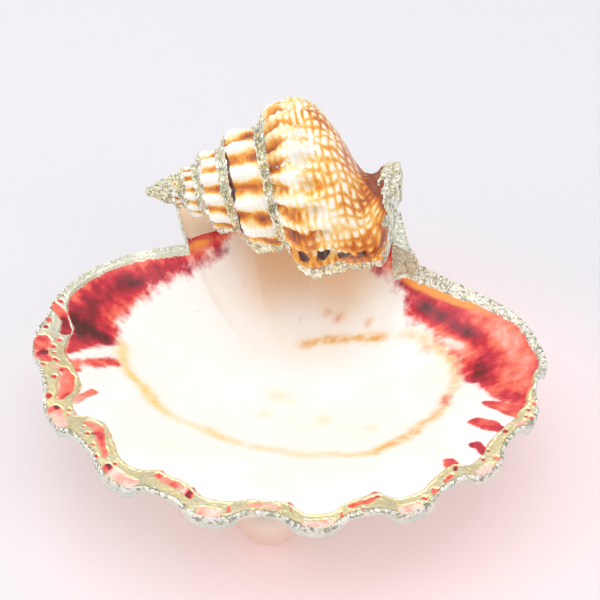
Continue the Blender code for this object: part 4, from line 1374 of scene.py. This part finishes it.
def make_camera():
    """The camera looks at a point over the bowl, from the height and side of the photograph."""
    view = bpy.context.scene.dish_stage
    aim = (VIEW_MIDDLE + frame_shift()) * MM
    side, up = view.camera_side, view.camera_height
    away = np.array([np.sin(side) * np.cos(up), -np.cos(side) * np.cos(up), np.sin(up)])
    camera = bpy.data.cameras.new("camera")
    camera.sensor_width = 36.0
    camera.lens = view.lens
    holder = bpy.data.objects.new("camera", camera)
    place = aim + away * view.camera_distance
    turn = Vector(aim - place).to_track_quat("-Z", "Y").to_matrix().to_4x4()
    holder.matrix_world = Matrix.Translation(Vector(place)) @ turn
    bpy.context.scene.collection.objects.link(holder)
    bpy.context.scene.camera = holder


# The add-on


def length_property(title, about, default):
    """A length in metres."""
    return bpy.props.FloatProperty(
        name=title, description=about, default=default, unit="LENGTH", precision=5
    )


def share_property(title, about, default):
    """A plain number, such as a share or a strength."""
    return bpy.props.FloatProperty(name=title, description=about, default=default, subtype="FACTOR")


def angle_property(title, about, default):
    """An angle in radians."""
    return bpy.props.FloatProperty(name=title, description=about, default=default, subtype="ANGLE")


def power_property(title, about, default):
    """The power of a lamp in watts."""
    return bpy.props.FloatProperty(name=title, description=about, default=default, unit="POWER")


def colour_property(title, about, default):
    """A colour with its alpha."""
    return bpy.props.FloatVectorProperty(
        name=title, description=about, default=default, subtype="COLOR", size=4, min=0.0, max=1.0
    )


class ValveSizes(bpy.types.PropertyGroup):
    """Sizes and colours of the scallop valve."""

    bowl_depth: length_property("Bowl depth", "Depth of the hollow side under the rim", 0.0215)
    wall_middle: length_property("Wall in the middle", "Thickness of the shell in the middle", 0.0028)
    wall_margin: length_property("Wall at the margin", "Thickness of the shell at its margin", 0.0017)
    rib_height: length_property("Rib height", "Height of the ribs on the underside", 0.002)
    leaf_room: length_property("Room for leaf", "How far the shell stays inside the gilding", 0.00042)
    porcelain: colour_property("Porcelain", "White of the hollow side", tint(1.0, 0.995, 0.985))
    coral: colour_property("Coral", "Light red of the fields", tint(0.97, 0.44, 0.35))
    crimson: colour_property("Crimson", "Deep red of the fields", tint(0.82, 0.16, 0.24))
    mantle: colour_property("Mantle line", "Yellow of the mantle line", tint(0.97, 0.82, 0.44))


class GildingSizes(bpy.types.PropertyGroup):
    """Sizes and colours of the gilding."""

    thickness: length_property("Leaf thickness", "How far the gilding stands over the shell", 0.00028)
    rim_share: share_property("Rim share", "How far the gilding reaches down the rim", 0.62)
    gold: colour_property("Gold", "Champagne gold of the leaf", tint(0.96, 0.90, 0.68))
    silver: colour_property("Silver", "Greenish silver of the leaf", tint(0.96, 0.97, 0.90))


class SnailSizes(bpy.types.PropertyGroup):
    """Sizes and colours of the snail shell."""

    knob_height: share_property("Knob height", "Height of the knobs over the scale of their whorl", 0.056)
    suture_place: share_property("Suture place", "Where each whorl starts, over its scale", 0.815)
    tooth_length: length_property("Lip teeth", "Length of the ragged teeth along the lip", 0.0014)
    aperture_depth: angle_property("Aperture depth", "How far the hollow turns in under the lip", 1.1)
    cream: colour_property("Cream", "Light ground of the shell", tint(0.99, 0.98, 0.94))
    amber: colour_property("Amber", "Light bands of the shell", tint(0.96, 0.68, 0.22))
    brown: colour_property("Brown", "Deep bands of the shell", tint(0.82, 0.44, 0.12))


class PearlSizes(bpy.types.PropertyGroup):
    """Colours of the pearl feet."""

    body: colour_property("Body", "Pale pink of the pearls", tint(0.93, 0.81, 0.72))


class StageSizes(bpy.types.PropertyGroup):
    """Backdrop, lights and camera."""

    paper: colour_property("Paper", "Colour of the sweep", tint(0.845, 0.84, 0.87))
    # Painted light: the strength of the sweep's emission, which lifts the shade round the dish.
    painted_floor_glow: share_property("Paper glow", "Light that the lit paper passes on from behind", 0.38)
    room: colour_property("Room light", "Colour of the light from all round", tint(0.975, 0.97, 0.98))
    room_strength: share_property("Room strength", "Strength of the light from all round", 0.82)
    overhead_power: power_property("Overhead power", "Power of the softbox overhead", 4.0)
    side_power: power_property("Side power", "Power of the softboxes at the sides", 1.3)
    lens: bpy.props.FloatProperty(
        name="Lens", description="Focal length of the camera in millimetres", default=103.464, unit="CAMERA"
    )
    camera_distance: length_property("Camera distance", "From the camera to the dish", 0.45)
    camera_side: angle_property("Camera side", "How far round to the right it stands", np.radians(7.0))
    camera_height: angle_property("Camera height", "Angle that it looks down at", np.radians(41.5))


class DISH_OT_stage(bpy.types.Operator):
    """Adds the sweep, the lights and the camera, and the node groups that the finishes share."""

    bl_idname = "dish.stage"
    bl_label = "Stage and lights"

    def execute(self, context):
        mottle_group()
        leaf_group()
        make_camera()
        make_sweep()
        make_lights()
        return {"FINISHED"}


class DISH_OT_valve(bpy.types.Operator):
    """Makes the scallop valve."""

    bl_idname = "dish.valve"
    bl_label = "Scallop valve"

    def execute(self, context):
        make_valve()
        return {"FINISHED"}


class DISH_OT_gilding(bpy.types.Operator):
    """Makes the gilding round the valve's margin, with its windows and loose crumbs."""

    bl_idname = "dish.gilding"
    bl_label = "Gilded margin"

    def execute(self, context):
        piece = make_gilded_margin()
        random = np.random.default_rng(5)
        stations, crumbs = 4000, 1500
        margin = Margin(stations)
        pick = random.integers(0, stations, crumbs)
        inward = 0.62 + np.abs(random.normal(0.0, 0.45, crumbs))
        plan = VALVE_MIDDLE + (margin.whole[pick] - inward)[:, None] * margin.outward[pick]
        places = raised_to(bowl_height, plan, 0.25)
        radii = random.uniform(0.1, 0.24, crumbs)
        scatter_grains("margin_crumbs", places, radii, 6, "scallop_shell", piece.data.materials[0])
        return {"FINISHED"}


class DISH_OT_snail(bpy.types.Operator):
    """Makes the snail shell and the crust of leaf along its sutures and its lip."""

    bl_idname = "dish.snail"
    bl_label = "Snail shell"

    def execute(self, context):
        rows, crusted = make_snail()
        random = np.random.default_rng(7)
        crumbs = 1700
        where = np.argwhere(crusted)
        pick = where[random.integers(0, len(where), crumbs)]
        places = rows[pick[:, 0], pick[:, 1]]
        radii = random.uniform(0.2, 0.5, len(places))
        material = bpy.data.materials["champagne_leaf"]
        scatter_grains("suture_crumbs", places, radii, 8, "snail_shell", material)
        return {"FINISHED"}


class DISH_OT_pearls(bpy.types.Operator):
    """Makes the three pearl feet."""

    bl_idname = "dish.pearls"
    bl_label = "Pearl feet"

    def execute(self, context):
        material = pearl_material()
        for place in ("front", "back_left", "back_right"):
            make_pearl("pearl_" + place, "pearl_foot_" + place, material)
        return {"FINISHED"}


class DISH_PT_panel(bpy.types.Panel):
    """Lists the steps that build the dish."""

    bl_idname = "DISH_PT_panel"
    bl_label = "Shell dish"
    bl_space_type = "VIEW_3D"
    bl_region_type = "UI"
    bl_category = "Shell dish"

    def draw(self, context):
        """Lists the operators and then every size and colour."""
        for operator in OPERATORS:
            self.layout.operator(operator.bl_idname)
        for name in PROPERTIES:
            group = getattr(context.scene, name)
            box = self.layout.box()
            for key in group.__annotations__:
                box.prop(group, key)


OPERATORS = (DISH_OT_stage, DISH_OT_valve, DISH_OT_gilding, DISH_OT_snail, DISH_OT_pearls)
PROPERTIES = {
    "dish_valve": ValveSizes,
    "dish_gilding": GildingSizes,
    "dish_snail": SnailSizes,
    "dish_pearls": PearlSizes,
    "dish_stage": StageSizes,
}


def register():
    """Adds the sizes, the operators and the panel to Blender."""
    for made in (*PROPERTIES.values(), *OPERATORS, DISH_PT_panel):
        bpy.utils.register_class(made)
    for name, group in PROPERTIES.items():
        setattr(bpy.types.Scene, name, bpy.props.PointerProperty(type=group))


def unregister():
    """Takes away again what register adds."""
    for name in PROPERTIES:
        delattr(bpy.types.Scene, name)
    for made in (DISH_PT_panel, *OPERATORS, *PROPERTIES.values()):
        bpy.utils.unregister_class(made)


def main():
    """Builds the whole dish."""
    register()
    bpy.ops.dish.stage()
    bpy.ops.dish.valve()
    bpy.ops.dish.gilding()
    bpy.ops.dish.snail()
    bpy.ops.dish.pearls()


if __name__ == "__main__":
    main()
